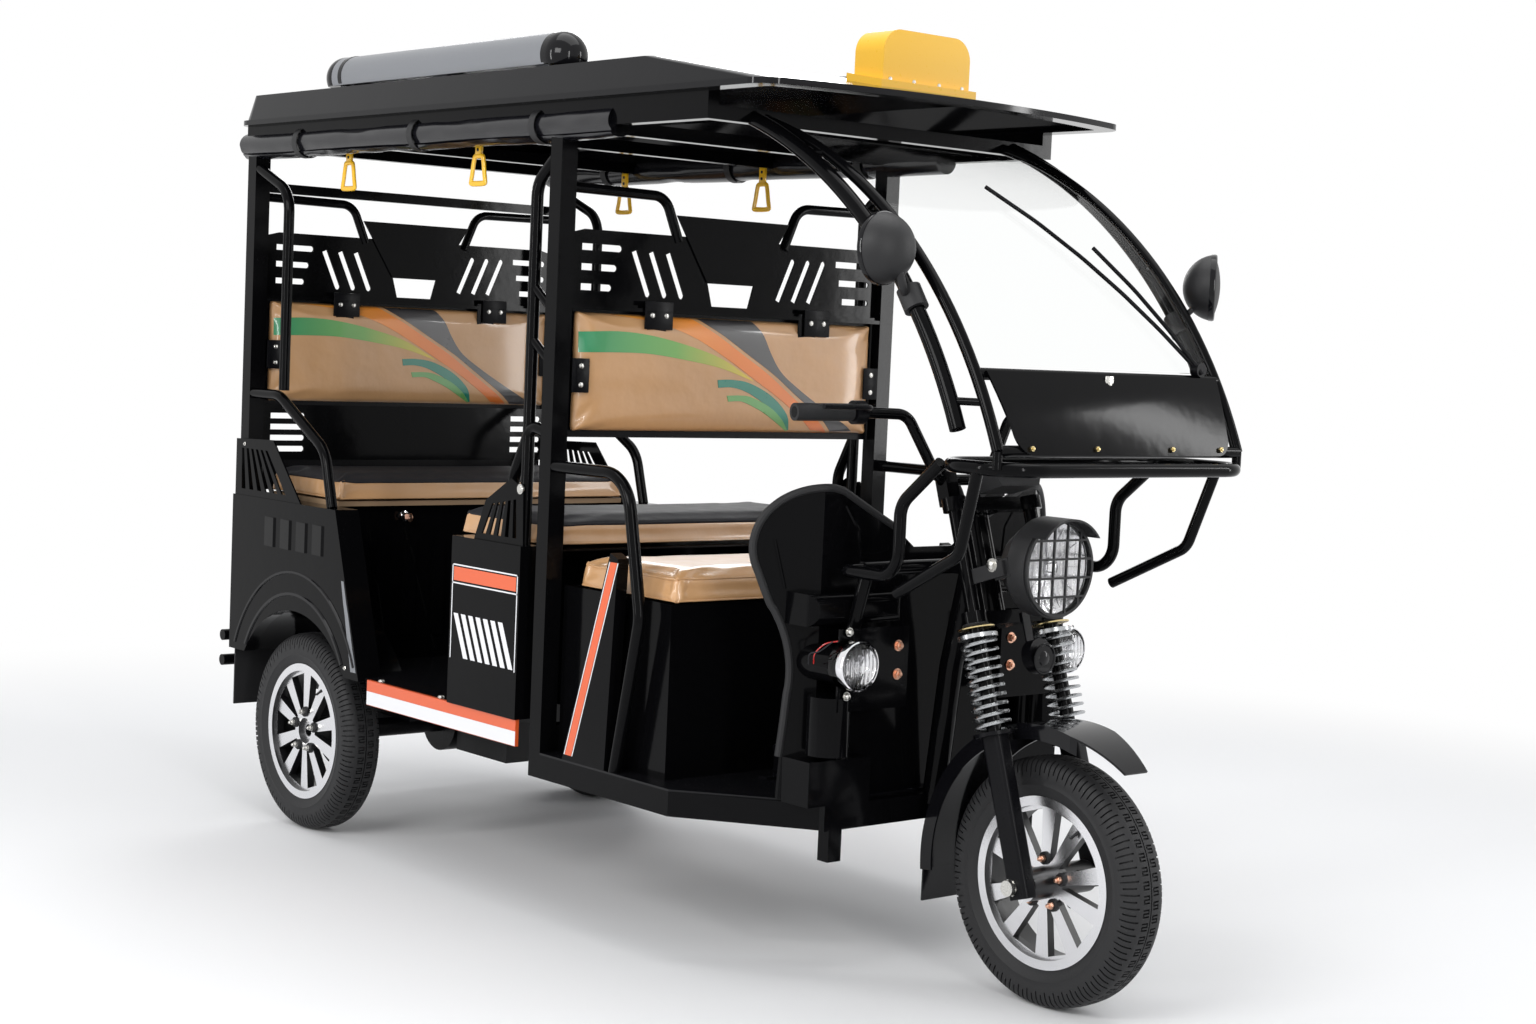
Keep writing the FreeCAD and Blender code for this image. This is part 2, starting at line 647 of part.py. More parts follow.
def build_fork():
    length = S.leg_top - S.leg_bottom
    legs, stanchions, springs = [], [], []
    for side in (-1, 1):
        x = S.leg_spread * side
        blank = box(x - S.leg_width / 2, LEG_Y - S.leg_depth / 2, S.leg_bottom, S.leg_width, S.leg_depth,
                    length)
        bore = cylinder(x - S.leg_width, 0, 0, S.axle_radius, S.leg_width * 2, ALONG_X)
        collar = cylinder(x, LEG_Y, S.leg_top, S.spring_radius + S.spring_wire + 1, S.spring_seat)
        legs.append(cut(fuse([softened_leg(blank), collar]), bore))
        rod_top = UPPER_YOKE + S.yoke_thick
        stanchions.append(cylinder(x, LEG_Y, SPRING_BOTTOM, S.stanchion_radius, rod_top - SPRING_BOTTOM))
        washer = cylinder(x, LEG_Y, SPRING_TOP, S.spring_radius + 6, S.spring_washer)
        hole = cylinder(x, LEG_Y, SPRING_TOP - 1, S.stanchion_radius, S.spring_washer + 2)
        springs += [coil(x, LEG_Y), cut(washer, hole)]
    node(raked(compound(legs)), "fork_legs")
    node(raked(compound(stanchions)), "fork_stanchions")
    node(raked(compound(springs)), "fork_springs")
    stem_foot = S.lower_yoke + S.yoke_thick
    stem = cylinder(0, S.stem_behind, stem_foot, S.stem_radius, UPPER_YOKE - stem_foot)
    riser_foot = UPPER_YOKE + S.yoke_thick
    clamp_y = S.stem_behind + S.bar_behind
    groove = cylinder(-FAR / 2, clamp_y, BAR_CLAMP, S.bar_radius, FAR, ALONG_X)
    risers = [
        cut(box(side * S.bar_spread - 16, clamp_y - 15, riser_foot, 32, 30, BAR_CLAMP + 17 - riser_foot),
            groove)
        for side in (-1, 1)
    ]
    whole = fuse([yoke(S.lower_yoke), yoke(UPPER_YOKE), stem] + risers)
    node(cut(raked(whole), PIECES["handlebar"]), "fork_yokes")


def softened_leg(blank):
    """A cast leg with rounded upright edges."""
    return softened(blank, 9, lambda edge: edge.BoundBox.ZLength > 50)


def yoke(height):
    """A fork yoke: lobes round the stanchions and the stem, joined by arms."""
    arms = box(-1 * S.leg_spread, LEG_Y - 6, height, S.leg_spread * 2, 24, S.yoke_thick)
    middle = box(-32, LEG_Y, height, 64, S.leg_ahead + S.stem_behind, S.yoke_thick)
    lobes = [cylinder(S.leg_spread * side, LEG_Y, height, S.yoke_lobe, S.yoke_thick) for side in (-1, 1)]
    lobes.append(cylinder(0, S.stem_behind, height, 32, S.yoke_thick))
    holes = [cylinder(S.leg_spread * side, LEG_Y, height - 1, S.stanchion_radius, S.yoke_thick + 2)
             for side in (-1, 1)]
    return cut(fuse([arms, middle] + lobes), fuse(holes))


def coil(x, y):
    """A helical spring: one wire of six flats, turned at an even pitch."""
    rise = SPRING_TOP - SPRING_BOTTOM - S.spring_wire * 2 - 1
    helix = Part.makeHelix(float(rise / S.spring_turns), float(rise), float(S.spring_radius))
    wire_radius = float(S.spring_wire)
    corners = [Vector(float(S.spring_radius) + wire_radius * math.cos(k * math.pi / 3), 0,
                      wire_radius * math.sin(k * math.pi / 3)) for k in range(7)]
    spring = Part.Wire(helix.Edges).makePipeShell([Part.makePolygon(corners)], True, True)
    spring.translate(Vector(float(x), float(y), float(SPRING_BOTTOM + S.spring_wire + 0.5)))
    return shape_object(spring)


def build_handlebar():
    y = float(S.stem_behind + S.bar_behind)
    reach, clamp, rise = float(S.bar_reach), float(BAR_CLAMP), float(S.bar_rise)
    # Share of the reach, row from the clamp and height above it, from the end inwards
    bends = ((1.0, 16, rise + 12), (0.6, -10, rise + 6), (0.36, -22, rise), (0.17, 0, 0))
    right = [(-share * reach, y + behind, clamp + high) for share, behind, high in bends]
    left = on_other_side(reversed(right))
    node(raked(tube(right + left, S.bar_radius, 40)), "handlebar")
    grips, controls = [], []
    for side in (-1, 1):
        end, inner = [Vector(-side * p[0], p[1], p[2]) for p in right[:2]]
        along = (inner - end).normalize()
        grips.append(sleeve(end, along, float(S.grip_radius), float(S.grip_length)))
        pod_start = end + along * (float(S.grip_length) + 3)
        pod = sleeve(pod_start, along, 23, 24)
        root = pod_start + along * 12 + Vector(0, -21, 0)
        knee = root + Vector(side * 8, -30, -4)
        tip = end + along * 18 + Vector(0, -62, -6)
        controls.append(fuse([pod, tube([tuple(root), tuple(knee), tuple(tip)], 5, 20)]))
    node(raked(compound(grips)), "handlebar_grips")
    node(raked(compound(controls)), "hand_levers")


def sleeve(start, along, radius, length):
    """A ring round the handlebar from a point on its line."""
    outer = Part.makeCylinder(radius, length, start, along)
    bore = Part.makeCylinder(float(S.bar_radius), length, start, along)
    return shape_object(outer.cut(bore))


def build_headlamp():
    """The headlamp looks level: it is made round its own middle and turned back against the rake."""
    y, z = S.stem_behind - S.lamp_ahead, S.lamp_height
    face = -0.5 * S.lamp_depth
    cone = {"Radius1": S.lamp_radius, "Radius2": S.lamp_back_radius, "Height": S.lamp_depth - S.lamp_straight}
    outer = fuse([cylinder(0, face, 0, S.lamp_radius, S.lamp_straight, ALONG_Y),
                  primitive("Cone", cone, 0, face + S.lamp_straight, 0, ALONG_Y)])
    glass_radius = S.lamp_radius - S.lamp_wall
    bowl = cylinder(0, face - 1, 0, glass_radius, 30, ALONG_Y)
    peak = cut(cylinder(0, face - S.visor_reach, 0, S.lamp_radius + 1, S.visor_reach + 40, ALONG_Y),
               cylinder(0, face - S.visor_reach - 1, 0, S.lamp_radius - 3, S.visor_reach + 42, ALONG_Y))
    brow = S.lamp_radius * 0.62
    visor = cut(peak, box(-200, face - S.visor_reach - 10, -300, 400, 140, brow + 300))
    wire, wires = S.guard_wire, []
    for step in (-1.5, -0.5, 0.5, 1.5):
        offset = step * S.guard_pitch
        half = math.sqrt(float(glass_radius) ** 2 - float(offset) ** 2)
        wires.append(box(-half, face - 6, offset - wire / 2, 2 * half, wire, wire))
        wires.append(box(offset - wire / 2, face - 6, -half, wire, wire, 2 * half))
    hoop = cut(cylinder(0, face - 6, 0, S.lamp_radius - 3.2, 6, ALONG_Y),
               cylinder(0, face - 7, 0, S.lamp_radius - 9, 8, ALONG_Y))
    lens = cylinder(0, face + 4, 0, glass_radius, 25, ALONG_Y)
    bucket = fuse([cut(outer, bowl), visor, hoop] + wires)
    level_bucket, level_lens = [levelled(piece, y, z) for piece in (bucket, lens)]
    ear_x = S.lamp_radius - 13
    ears = [box(side * ear_x - 13, y - 8, z - 18, 26, 40, 36) for side in (-1, 1)]
    stay_length = S.lamp_ahead - S.stem_behind - S.leg_ahead
    stays = [box(side * (S.lamp_radius + 4) - 4, y, z - 14, 8, stay_length, 28) for side in (-1, 1)]
    rods = [cylinder(S.leg_spread * side, LEG_Y, S.lower_yoke, S.stanchion_radius, S.yoke_step)
            for side in (-1, 1)]
    holder = cut(fuse(ears + stays), fuse(rods + [levelled(bowl, y, z)]))
    node(raked(level_lens), "headlamp_lens")
    node(raked(fuse([level_bucket, holder])), "headlamp_shell")


def levelled(thing, y, z):
    """A piece made round its own middle, set at a place in the fork's frame so that the rake levels it."""
    turned = place(compound([thing]), 0, y, z, Rotation(Vector(1, 0, 0), S.rake_angle.value))
    turned.setExpression("Placement.Rotation.Angle", "sizes.rake_angle")
    return turned


def build_dash():
    """The instrument pod over the upper yoke, on a short stay, and the horn under the lower yoke."""
    half, high, low = 52, 26, 30
    loop = [(-half, high), (half, high), (half + 14, 0), (half, -low), (-half, -low), (-half - 14, 0)]
    pod = plate("XZ_Plane", loop, 70, 0, -60, UPPER_YOKE + 60)
    stay = box(-26, -25, UPPER_YOKE + S.yoke_thick, 52, 15, 40)
    node(raked(compound([pod, stay])), "dash_pod")
    yoke_front = LEG_Y - 6
    horn = fuse([cylinder(S.horn_aside, yoke_front - 28, S.lower_yoke - 71, 33, 24, ALONG_Y),
                 box(S.horn_aside - 10, yoke_front - 4, S.lower_yoke - 90, 20, 4, 108)])
    node(raked(horn), "horn")


def build_mudguard():
    """A channel turned about the front axle, from ahead of the wheel to behind it, with a rubber flap."""
    tip_angle, sweep, flap_angle = 38, 134, math.radians(96)
    inner, outer = float(S.guard_radius), float(S.guard_radius + S.guard_thick)
    half, skirt, t = float(S.guard_width) / 2, float(S.guard_skirt), float(S.guard_thick)
    section = [(-half, inner - skirt), (-half, outer), (half, outer), (half, inner - skirt),
               (half - t, inner - skirt), (half - t, inner), (t - half, inner), (t - half, inner - skirt)]
    band = Part.Face(Part.makePolygon([Vector(x, 0, r) for x, r in section + section[:1]]))
    band.rotate(Vector(0, 0, 0), Vector(1, 0, 0), tip_angle)
    guard = shape_object(band.revolve(Vector(0, 0, 0), Vector(1, 0, 0), -sweep))
    guard = place(guard, 0, FRONT_AXLE, S.tyre_radius)
    tip_y = FRONT_AXLE - outer * math.sin(math.radians(tip_angle))
    corner = plan_prism([(half * 0.45, tip_y - 10), (half + 5, tip_y - 10), (half + 5, tip_y + 130)], 0, 1000)
    guard = cut(guard, both_sides(corner))
    flap = box(-55, FRONT_AXLE + (inner + 1) * math.sin(flap_angle), S.tyre_radius - 96, 110, 4, 66)
    gap = S.leg_spread - S.leg_width / 2 - S.guard_width / 2
    stays = [
        box(side * S.guard_width / 2 - (gap if side < 0 else 0), LEG_Y - 14, S.leg_top - 32, gap, 28, 20)
        for side in (-1, 1)
    ]
    node(compound([fuse([guard, flap]), raked(compound(stays))]), "front_mudguard")


def build_front_axle():
    end = S.leg_spread + S.leg_width / 2 + S.axle_head
    rod = cylinder(-1 * end, FRONT_AXLE, S.tyre_radius, S.axle_radius, end * 2, ALONG_X)
    nuts = [cylinder(x, FRONT_AXLE, S.tyre_radius, 15, S.axle_head, ALONG_X)
            for x in (-1 * end, end - S.axle_head)]
    node(fuse([rod] + nuts), "front_axle")


# Chassis and floors

def build_chassis():
    beam = row(S.front_beam)
    end = REAR_POST + S.post_size / 2
    rail_bottom = DECK_TOP - S.rail_height
    rails = [box(side * S.rail_spread - S.rail_width / 2, MIDDLE_POST, rail_bottom, S.rail_width,
                 end - MIDDLE_POST, S.rail_height) for side in (-1, 1)]
    crosses = [
        box(-1 * S.rail_spread, at, rail_bottom + 10, S.rail_spread * 2, 40, S.beam_height)
        for at in (MIDDLE_POST + 300, MIDDLE_POST + 620, end - 40)
    ]
    bolster = box(-1 * POST_HALF, MIDDLE_POST - S.post_size / 2, BEAM_BOTTOM, POST_HALF * 2, S.post_size,
                  DECK_TOP - BEAM_BOTTOM)
    front_beam = box(-1 * S.front_beam_half, beam - 15, BEAM_BOTTOM, S.front_beam_half * 2, 50, S.beam_height)
    taper = row(S.taper_station)
    side_beam = plan_prism([
        (-1 * POST_HALF, MIDDLE_POST), (-1 * POST_HALF, taper), (-1 * S.front_beam_half, beam),
        (30 - S.front_beam_half, beam), (34 - POST_HALF, taper + 8), (34 - POST_HALF, MIDDLE_POST),
    ], BEAM_BOTTOM, S.beam_height)
    feet = [box(side * 270 - 17, beam - 15, BEAM_BOTTOM - 62, 34, 30, 62) for side in (-1, 1)]
    spine = box(-30, beam, BEAM_BOTTOM, 60, MIDDLE_POST - beam, S.beam_height)
    neck_top = neck_point(S.head_radius + 8, S.lower_yoke + 128)
    neck = tube([neck_top, (0, beam - 40, BEAM_TOP + 260), (0, beam - 8, BEAM_TOP - 20)], 24, 120)
    cross_y = beam - 36
    cross = tube([(-250, cross_y, S.cross_height), (250, cross_y, S.cross_height)], 15)
    bridge = box(-26, neck_top[1] - 8, S.cross_height - 12, 52, cross_y - neck_top[1] + 8, 24)
    posts = tube_pair([(-236, cross_y, S.cross_height), (-250, beam, 640), (-250, beam, BEAM_TOP - 10)], 14)
    core = fuse([cut(fuse([neck, bridge]), head_hole()), head_tube()])
    beams = [bolster, front_beam, spine, cross, side_beam, mirrored(side_beam)]
    node(fuse(rails + crosses + beams + feet + posts + [core]), "chassis_frame")


def neck_point(behind, up):
    """A point behind the steering axis and up the rake, in the vehicle's coordinates."""
    turn = math.radians(S.rake_angle.value)
    y, u = float(behind + S.stem_behind), float(up)
    return (0, float(FRONT_AXLE) + y * math.cos(turn) + u * math.sin(turn),
            float(S.tyre_radius) + u * math.cos(turn) - y * math.sin(turn))


def head_tube():
    low = S.lower_yoke + S.yoke_thick + S.head_gap
    length = UPPER_YOKE - S.head_gap - low
    outer = cylinder(0, S.stem_behind, low, S.head_radius, length)
    bore = cylinder(0, S.stem_behind, low - 1, S.stem_radius + S.bore_clearance, length + 2)
    return raked(compound([cut(outer, bore)]))


def head_hole():
    """The space of the head tube, taken out of what is welded to it."""
    return raked(compound([cylinder(0, S.stem_behind, S.lower_yoke, S.head_radius - 1, S.yoke_step)]))


def build_floors():
    beam = row(S.front_beam) + 19
    taper, stop = row(S.taper_station), MIDDLE_POST - S.post_size / 2
    plan = [
        (-1 * S.front_beam_half, beam), (S.front_beam_half, beam), (POST_HALF, taper),
        (POST_HALF, stop), (-1 * POST_HALF, stop), (-1 * POST_HALF, taper),
    ]
    body = new_body()
    pad(body, outline(body, "XY_Plane", [plan]), S.sheet_thick)
    place(body, 0, 0, BEAM_TOP)
    ribs = [box(60 - S.front_beam_half, row(S.front_beam) + 90 + 70 * k, S.driver_floor, 200, 26, 5)
            for k in range(3)]
    driver = fuse([body] + ribs + [mirrored(r) for r in ribs])
    floor_end = row(S.rear_seat_front)
    passenger = box(-1 * POST_HALF, FLOOR_FRONT, DECK_TOP, POST_HALF * 2, floor_end - FLOOR_FRONT,
                    S.sheet_thick)
    fender_space = box(-600, row(S.fender_foot) - 7, DECK_TOP - 5, 600 - SEAT_HALF, 500, 30)
    lower_strip = box(-1 * SEAT_HALF, floor_end, DECK_TOP, SEAT_HALF * 2, S.rear_box_inset, S.sheet_thick / 2)
    floor = cut(fuse([passenger, lower_strip]), fuse([wheel_space(), fender_space, mirrored(fender_space)]))
    node(compound([driver, floor]), "floor_panels")


def wheel_space():
    """The two round spaces that the wheel tubs take out of the floor and the seat box."""
    radius = S.fender_arch + 10
    return fuse([
        cylinder(-1 * S.body_half, REAR_AXLE, S.tyre_radius, radius, S.tub_width, ALONG_X),
        cylinder(TUB_WALL, REAR_AXLE, S.tyre_radius, radius, S.tub_width, ALONG_X),
    ])


# Posts and seats

def build_posts():
    size, x = S.post_size, S.loop_radius - POST_HALF
    middle, back = [box(-1 * POST_HALF, y - size / 2, DECK_TOP, size, size, POST_TOP - DECK_TOP)
                    for y in (MIDDLE_POST, REAR_POST)]
    y, front = MIDDLE_POST + size / 2, MIDDLE_POST - size / 2
    upright = tube([(x, y, POST_TOP - 60), (x, y + 62, POST_TOP - 110), (x, y + 62, S.side_box_top)],
                   S.loop_radius)
    rungs = [tube([(x, y, z), (x, y + 62, z + 44)], 9) for z in (1180, 1290)]
    grab = tube([(x, y, 1030), (x, y + 52, 1040), (x, y + 110, 930), (x, y + 118, S.side_box_top)],
                S.loop_radius)
    hoop = tube([(x, front, 960), (x, front - 250, 961), (x, row(720), 676), (x, row(785), S.driver_floor)],
                S.loop_radius, 90)
    side = fuse([middle, upright, grab, hoop] + rungs)
    node(cut(both_sides(side), PIECES["floor_panels"]), "middle_posts")
    rear = REAR_POST - size / 2
    arm = tube([(x, rear, 1053), (x, rear - 130, 1053), (x, rear - 360, 930), (x, rear - 400, FENDER_TOP)],
               S.loop_radius, 90)
    stay = tube([(x, rear, POST_TOP - 50), (x, rear - 150, POST_TOP - 110), (x, rear - 150, 1066)],
                S.loop_radius, 70)
    side = fuse([back, arm, stay])
    top_bar = box(size - POST_HALF, REAR_POST - 10, POST_TOP - 105, (POST_HALF - size) * 2, 20, 24)
    node(fuse([side, mirrored(side), top_bar]), "rear_posts")


def build_seats():
    driver_y, driver_top = row(S.driver_seat_front), S.driver_seat_top - S.cushion_thick
    bench_y, bench_top = MIDDLE_POST + S.post_size / 2, S.middle_seat_top - S.cushion_thick
    rear_y = row(S.rear_seat_front)
    driver_front = driver_y + S.driver_box_inset
    driver_depth = bench_y - S.post_size - driver_front
    bench_box_depth = S.bench_depth - S.seat_overhang
    boxes = compound([
        seat_box(driver_front, driver_depth, S.driver_floor, driver_top, open_front=False),
        seat_box(bench_y, bench_box_depth, DECK_TOP, bench_top, open_front=True),
        rear_seat_box(rear_y + S.rear_box_inset),
    ])
    node(boxes, "seat_boxes")
    cushion(driver_y, driver_top, S.driver_seat_depth, "driver_cushion")
    cushion(bench_y + 28, bench_top, S.bench_depth, "middle_cushion")
    node(box(6 - SEAT_HALF, rear_y + 12, LID_BOTTOM, SEAT_HALF * 2 - 12, S.bench_depth - 16, S.lid_thick),
         "rear_seat_lid")
    cushion(rear_y, LID_BOTTOM + S.lid_thick, S.bench_depth, "rear_cushion")


def seat_box(y, depth, bottom, top, open_front):
    """A bench box of sheet, open below and on the side that a post frame closes."""
    t = S.sheet_thick
    shell = box(-1 * SEAT_HALF, y, bottom, SEAT_HALF * 2, depth, top - bottom)
    hollow = box(t - SEAT_HALF, y + (-1 if open_front else t), bottom - 1, SEAT_HALF * 2 - t * 2,
                 depth - t + (1 if open_front else 0), top - bottom - t + 1)
    return cut(shell, hollow)


def rear_seat_box(y):
    """The ribbed front sheet of the rear bench, and the ledge round the opening under its lid."""
    t = S.sheet_thick
    front = box(-1 * SEAT_HALF, y, DECK_TOP, SEAT_HALF * 2, t, LID_BOTTOM - DECK_TOP)
    pitch = (SEAT_HALF * 2 - 30) / 10
    ribs = [box(pitch * (k + 0.5) - SEAT_HALF, y - 8, DECK_TOP + 60, 30, 8, 240) for k in range(10)]
    back = REAR_POST - S.post_size / 2 - 26
    ledge = box(-1 * SEAT_HALF, y + t, LID_BOTTOM - t, SEAT_HALF * 2, back - y - t, t)
    well = box(70 - SEAT_HALF, y + t + 60, LID_BOTTOM - t - 1, SEAT_HALF * 2 - 140, 190, t + 2)
    return cut(fuse([front] + ribs + [cut(ledge, well)]), wheel_space())


def cushion(y, z, depth, label):
    """A box cushion with softly rounded upright and upper edges."""
    blank = box(-1 * SEAT_HALF, y, z, SEAT_HALF * 2, depth, S.cushion_thick)
    above = float(z) + 1
    return node(softened(blank, S.cushion_round, lambda edge: edge.BoundBox.ZMax > above), label)


def build_backs():
    plates = []
    for label, post in (("middle_backrest", MIDDLE_POST), ("rear_backrest", REAR_POST)):
        face = post - S.post_size / 2 + 4
        height = S.back_top - S.back_bottom
        node(box(-1 * BACK_HALF, face, S.back_bottom, BACK_HALF * 2, S.back_thick, height), label)
        plates.append(slotted_plate(post, face - 3))
    plates.append(low_plate())
    posts = compound([PIECES["middle_posts"], PIECES["rear_posts"]])
    node(cut(compound(plates), posts), "back_plates")


def slotted_plate(y, face_y):
    """The pressed plate over a backrest: slots each side, a crest in the middle, a tube bent down to it."""
    half, low, height = POST_HALF - S.post_size, S.back_top, S.plate_height
    high = low + height
    base = [(-1 * half, low), (half, low), (half, high - 10), (half - 40, high), (40 - half, high),
            (-1 * half, high - 10)]
    slots = []
    for side in (-1, 1):
        for k in range(3):
            z = low + height * (0.28 + 0.25 * k)
            slots.append(slot_tool(44 + 6 * k, 20, 0, side * (half - 70 - 6 * k), y, z))
            slots.append(slot_tool(56, 20, side * 66, side * (half - 190 - 46 * k), y, low + height * 0.5))
    foot = S.crest_foot_half
    window = [(-1 * foot, low + 20), (foot, low + 20), (foot + 14, low + 70), (-1 * foot - 14, low + 70)]
    opening = plate("XZ_Plane", window, 20, 0, y, 0)
    pressed = cut(plate("XZ_Plane", base, S.sheet_thick, 0, y, 0), fuse(slots + [opening]))
    crest = [(-1 * foot - 18, low + 72), (foot + 18, low + 72), (S.crest_top_half, high + S.crest_rise),
             (-1 * S.crest_top_half, high + S.crest_rise)]
    crest_plate = plate("XZ_Plane", crest, S.sheet_thick, 0, y - 4, 0)
    tubes = tube_pair([(-1 * half, y, high + 85), (-190, y, high + 82), (-150, y, high - 12)], 11, 46)
    pieces = [pressed, crest_plate, box(-1 * half, y - 10, low, half * 2, 20, 14)]
    for side in (-1, 1):
        pieces.append(box(side * 215 - 26, face_y, low - 42, 52, 3, 42 + 14))
    pieces.append(box(-1 * half, face_y, low, half * 2, 10, 3))
    pieces.append(box(-1 * half, face_y, low, half * 2, 3, 8))
    return fuse(pieces + tubes)


def low_plate():
    """The slotted plate behind the rear cushion, four slots at each end."""
    half, low = POST_HALF - S.post_size, S.low_plate_bottom
    high = S.back_bottom - 4
    loop = [(-1 * half, low), (half, low), (half, high), (-1 * half, high)]
    slots = [slot_tool(52, 20, 0, side * (half - 75), REAR_POST, low + 28 * (k + 1)) for side in (-1, 1)
             for k in range(4)]
    return cut(plate("XZ_Plane", loop, S.sheet_thick, 0, REAR_POST, 0), fuse(slots))


# Side and rear panels

def build_side_panels():
    x = -1 * S.body_half
    front = MIDDLE_POST + S.post_size / 2 + S.side_gap
    top = S.side_box_top
    shell = box(x, front, S.cabin_floor, S.body_half - SEAT_HALF, S.side_box_depth, top - S.cabin_floor)
    corners = [(front + 4, top), (front + 190, top), (front + 150, top + 87), (front + 55, top + 141),
               (front + 10, top + 120)]
    pierced = profile_prism(corners, x + 8, x + 12)
    slots = side_slots([(front + 22, top + 14), (front + 168, top + 14), (front + 130, top + 80),
                        (front + 30, top + 98)], 5, x)
    side = fuse([shell, cut(pierced, slots)])
    node(cut(both_sides(side), PIECES["middle_posts"]), "side_boxes")
    corners = [(row(784), 790), (row(810), 800), (row(950), S.driver_floor), (row(804), S.driver_floor)]
    slant = profile_prism(corners, -1 * POST_HALF, 28 - POST_HALF)
    node(both_sides(slant), "slant_panels")
    sill_front = front + 4
    sill_length = row(S.fender_foot) - 29 - sill_front
    sill = box(-8 - POST_HALF, sill_front, S.cabin_floor - S.sill_height, 8, sill_length, S.sill_height)
    node(both_sides(sill), "sill_boards")


def build_rear_body():
    """Fender sides with the wheel arch, the wheel tubs, and the rear closing panel."""
    x, t, low = -1 * S.body_half, S.sheet_thick, S.body_bottom
    rear, front, foot = BACK_PANEL, row(S.fender_front), row(S.fender_foot)
    reach = S.fender_arch + 10
    below = box(-600, REAR_AXLE - 400, -200, 600, 800, low + 200)
    side = profile_prism([(front, FENDER_TOP), (foot, low), (rear, low), (rear, FENDER_TOP)], x, x + t)
    arch = cylinder(x - 20, REAR_AXLE, S.tyre_radius, S.fender_arch, 60, ALONG_X)
    flare = cut(cylinder(x, REAR_AXLE, S.tyre_radius, S.fender_arch + S.arch_flare, 30, ALONG_X), arch)
    top = box(x, front, FENDER_TOP - t, S.body_half - SEAT_HALF, rear - front, t)
    tub_side = cylinder(-1 * t - TUB_WALL, REAR_AXLE, S.tyre_radius, reach, t, ALONG_X)
    tub_round = cut(cylinder(x + t, REAR_AXLE, S.tyre_radius, reach, S.tub_width - t, ALONG_X),
                    cylinder(x, REAR_AXLE, S.tyre_radius, reach - t, S.tub_width + 10, ALONG_X))
    leading = profile_prism([(front, FENDER_TOP), (foot, low), (foot + t, low), (front + t, FENDER_TOP)], x,
                            -1 * SEAT_HALF)
    inner_back = row(S.rear_seat_front) + S.rear_box_inset
    inside = [(front, FENDER_TOP), (foot, low), (inner_back, low), (inner_back, FENDER_TOP)]
    inner_wall = cut(profile_prism(inside, -1 * t - SEAT_HALF, -1 * SEAT_HALF), wheel_space())
    corners = [(rear - t, FENDER_TOP - 7), (rear - 340, FENDER_TOP - 7), (rear - 190, FENDER_TOP + 146),
               (rear - t, FENDER_TOP + 140)]
    corner = profile_prism(corners, x + t, x + t * 2)
    corner_slots = side_slots([(rear - 270, FENDER_TOP + 16), (rear - 26, FENDER_TOP + 16),
                               (rear - 26, FENDER_TOP + 118), (rear - 170, FENDER_TOP + 118)], 6, x)
    louvres = [plan_prism([(x, row(at)), (x - 4, row(at + 8)), (x, row(at + 58))], 682, 72)
               for at in (1925, 2003, 2081, 2159)]
    round_parts = cut(fuse([flare, tub_side, tub_round]), below)
    flat_parts = [cut(side, arch), top, leading, inner_wall, cut(corner, corner_slots)]
    half_body = fuse(flat_parts + louvres + [round_parts])
    back = box(x, rear - t, low, S.body_half * 2, t, FENDER_TOP - low)
    node(cut(fuse([half_body, mirrored(half_body), back]), PIECES["rear_posts"]), "rear_body")
    lamp = box(x + 40, rear, 560, 70, 24, 150)
    node(both_sides(lamp), "tail_lamps")
    flap = box(x + 14, rear - t - 5, 262, 128, 5, DECK_TOP - 1 - 262)
    node(both_sides(flap), "mud_flaps")
    bumper_y = REAR_AXLE + S.bumper_behind
    bars = [cylinder(-1 * S.bumper_half, bumper_y, z, S.bumper_radius, S.bumper_half * 2, ALONG_X)
            for z in (S.bumper_high, S.bumper_low)]
    struts = [box(side * 240 - 6, rear, S.body_bottom - 51, 12, bumper_y - rear, 88) for side in (-1, 1)]
    node(fuse(bars + struts), "rear_bumper")


# Nose

def bowed(z, curve, centre):
    """The row of a windscreen tube at a height: nearly upright at its foot and leaning back to the roof."""
    rise = float(z) - float(S.curve_height)
    return float(row(centre)) - math.sqrt(float(curve) ** 2 - rise ** 2)


def screen_row(z, ahead=0):
    """The row of the inner windscreen tube's bow, or of a line that follows it ahead of the glass."""
    return bowed(z, S.screen_curve + ahead, S.screen_centre)


def bow_tube(x, foot, radius, curve, centre):
    """A tube bent to the windscreen's bow, from its foot up into the front roof bow."""
    top = POST_TOP + S.roof_tube / 2
    spots = [Vector(float(x), bowed(z, curve, centre), float(z)) for z in (foot, (foot + top) / 2, top)]
    return swept(Part.Wire([Part.Arc(*spots).toShape()]), radius)


def bow_band(low, high, inside, outside, half):
    """A sheet across the vehicle that follows the windscreen's bow between two heights."""
    middle = (low + high) / 2
    front, back = [
        [Vector(-float(half), screen_row(z, offset), float(z)) for z in (low, middle, high)]
        for offset in (outside, inside)
    ]
    edges = [Part.Arc(*front).toShape(), Part.makeLine(front[2], back[2]),
             Part.Arc(*reversed(back)).toShape(), Part.makeLine(back[0], front[0])]
    return shape_object(Part.Face(Part.Wire(edges)).extrude(Vector(float(half) * 2, 0, 0)))


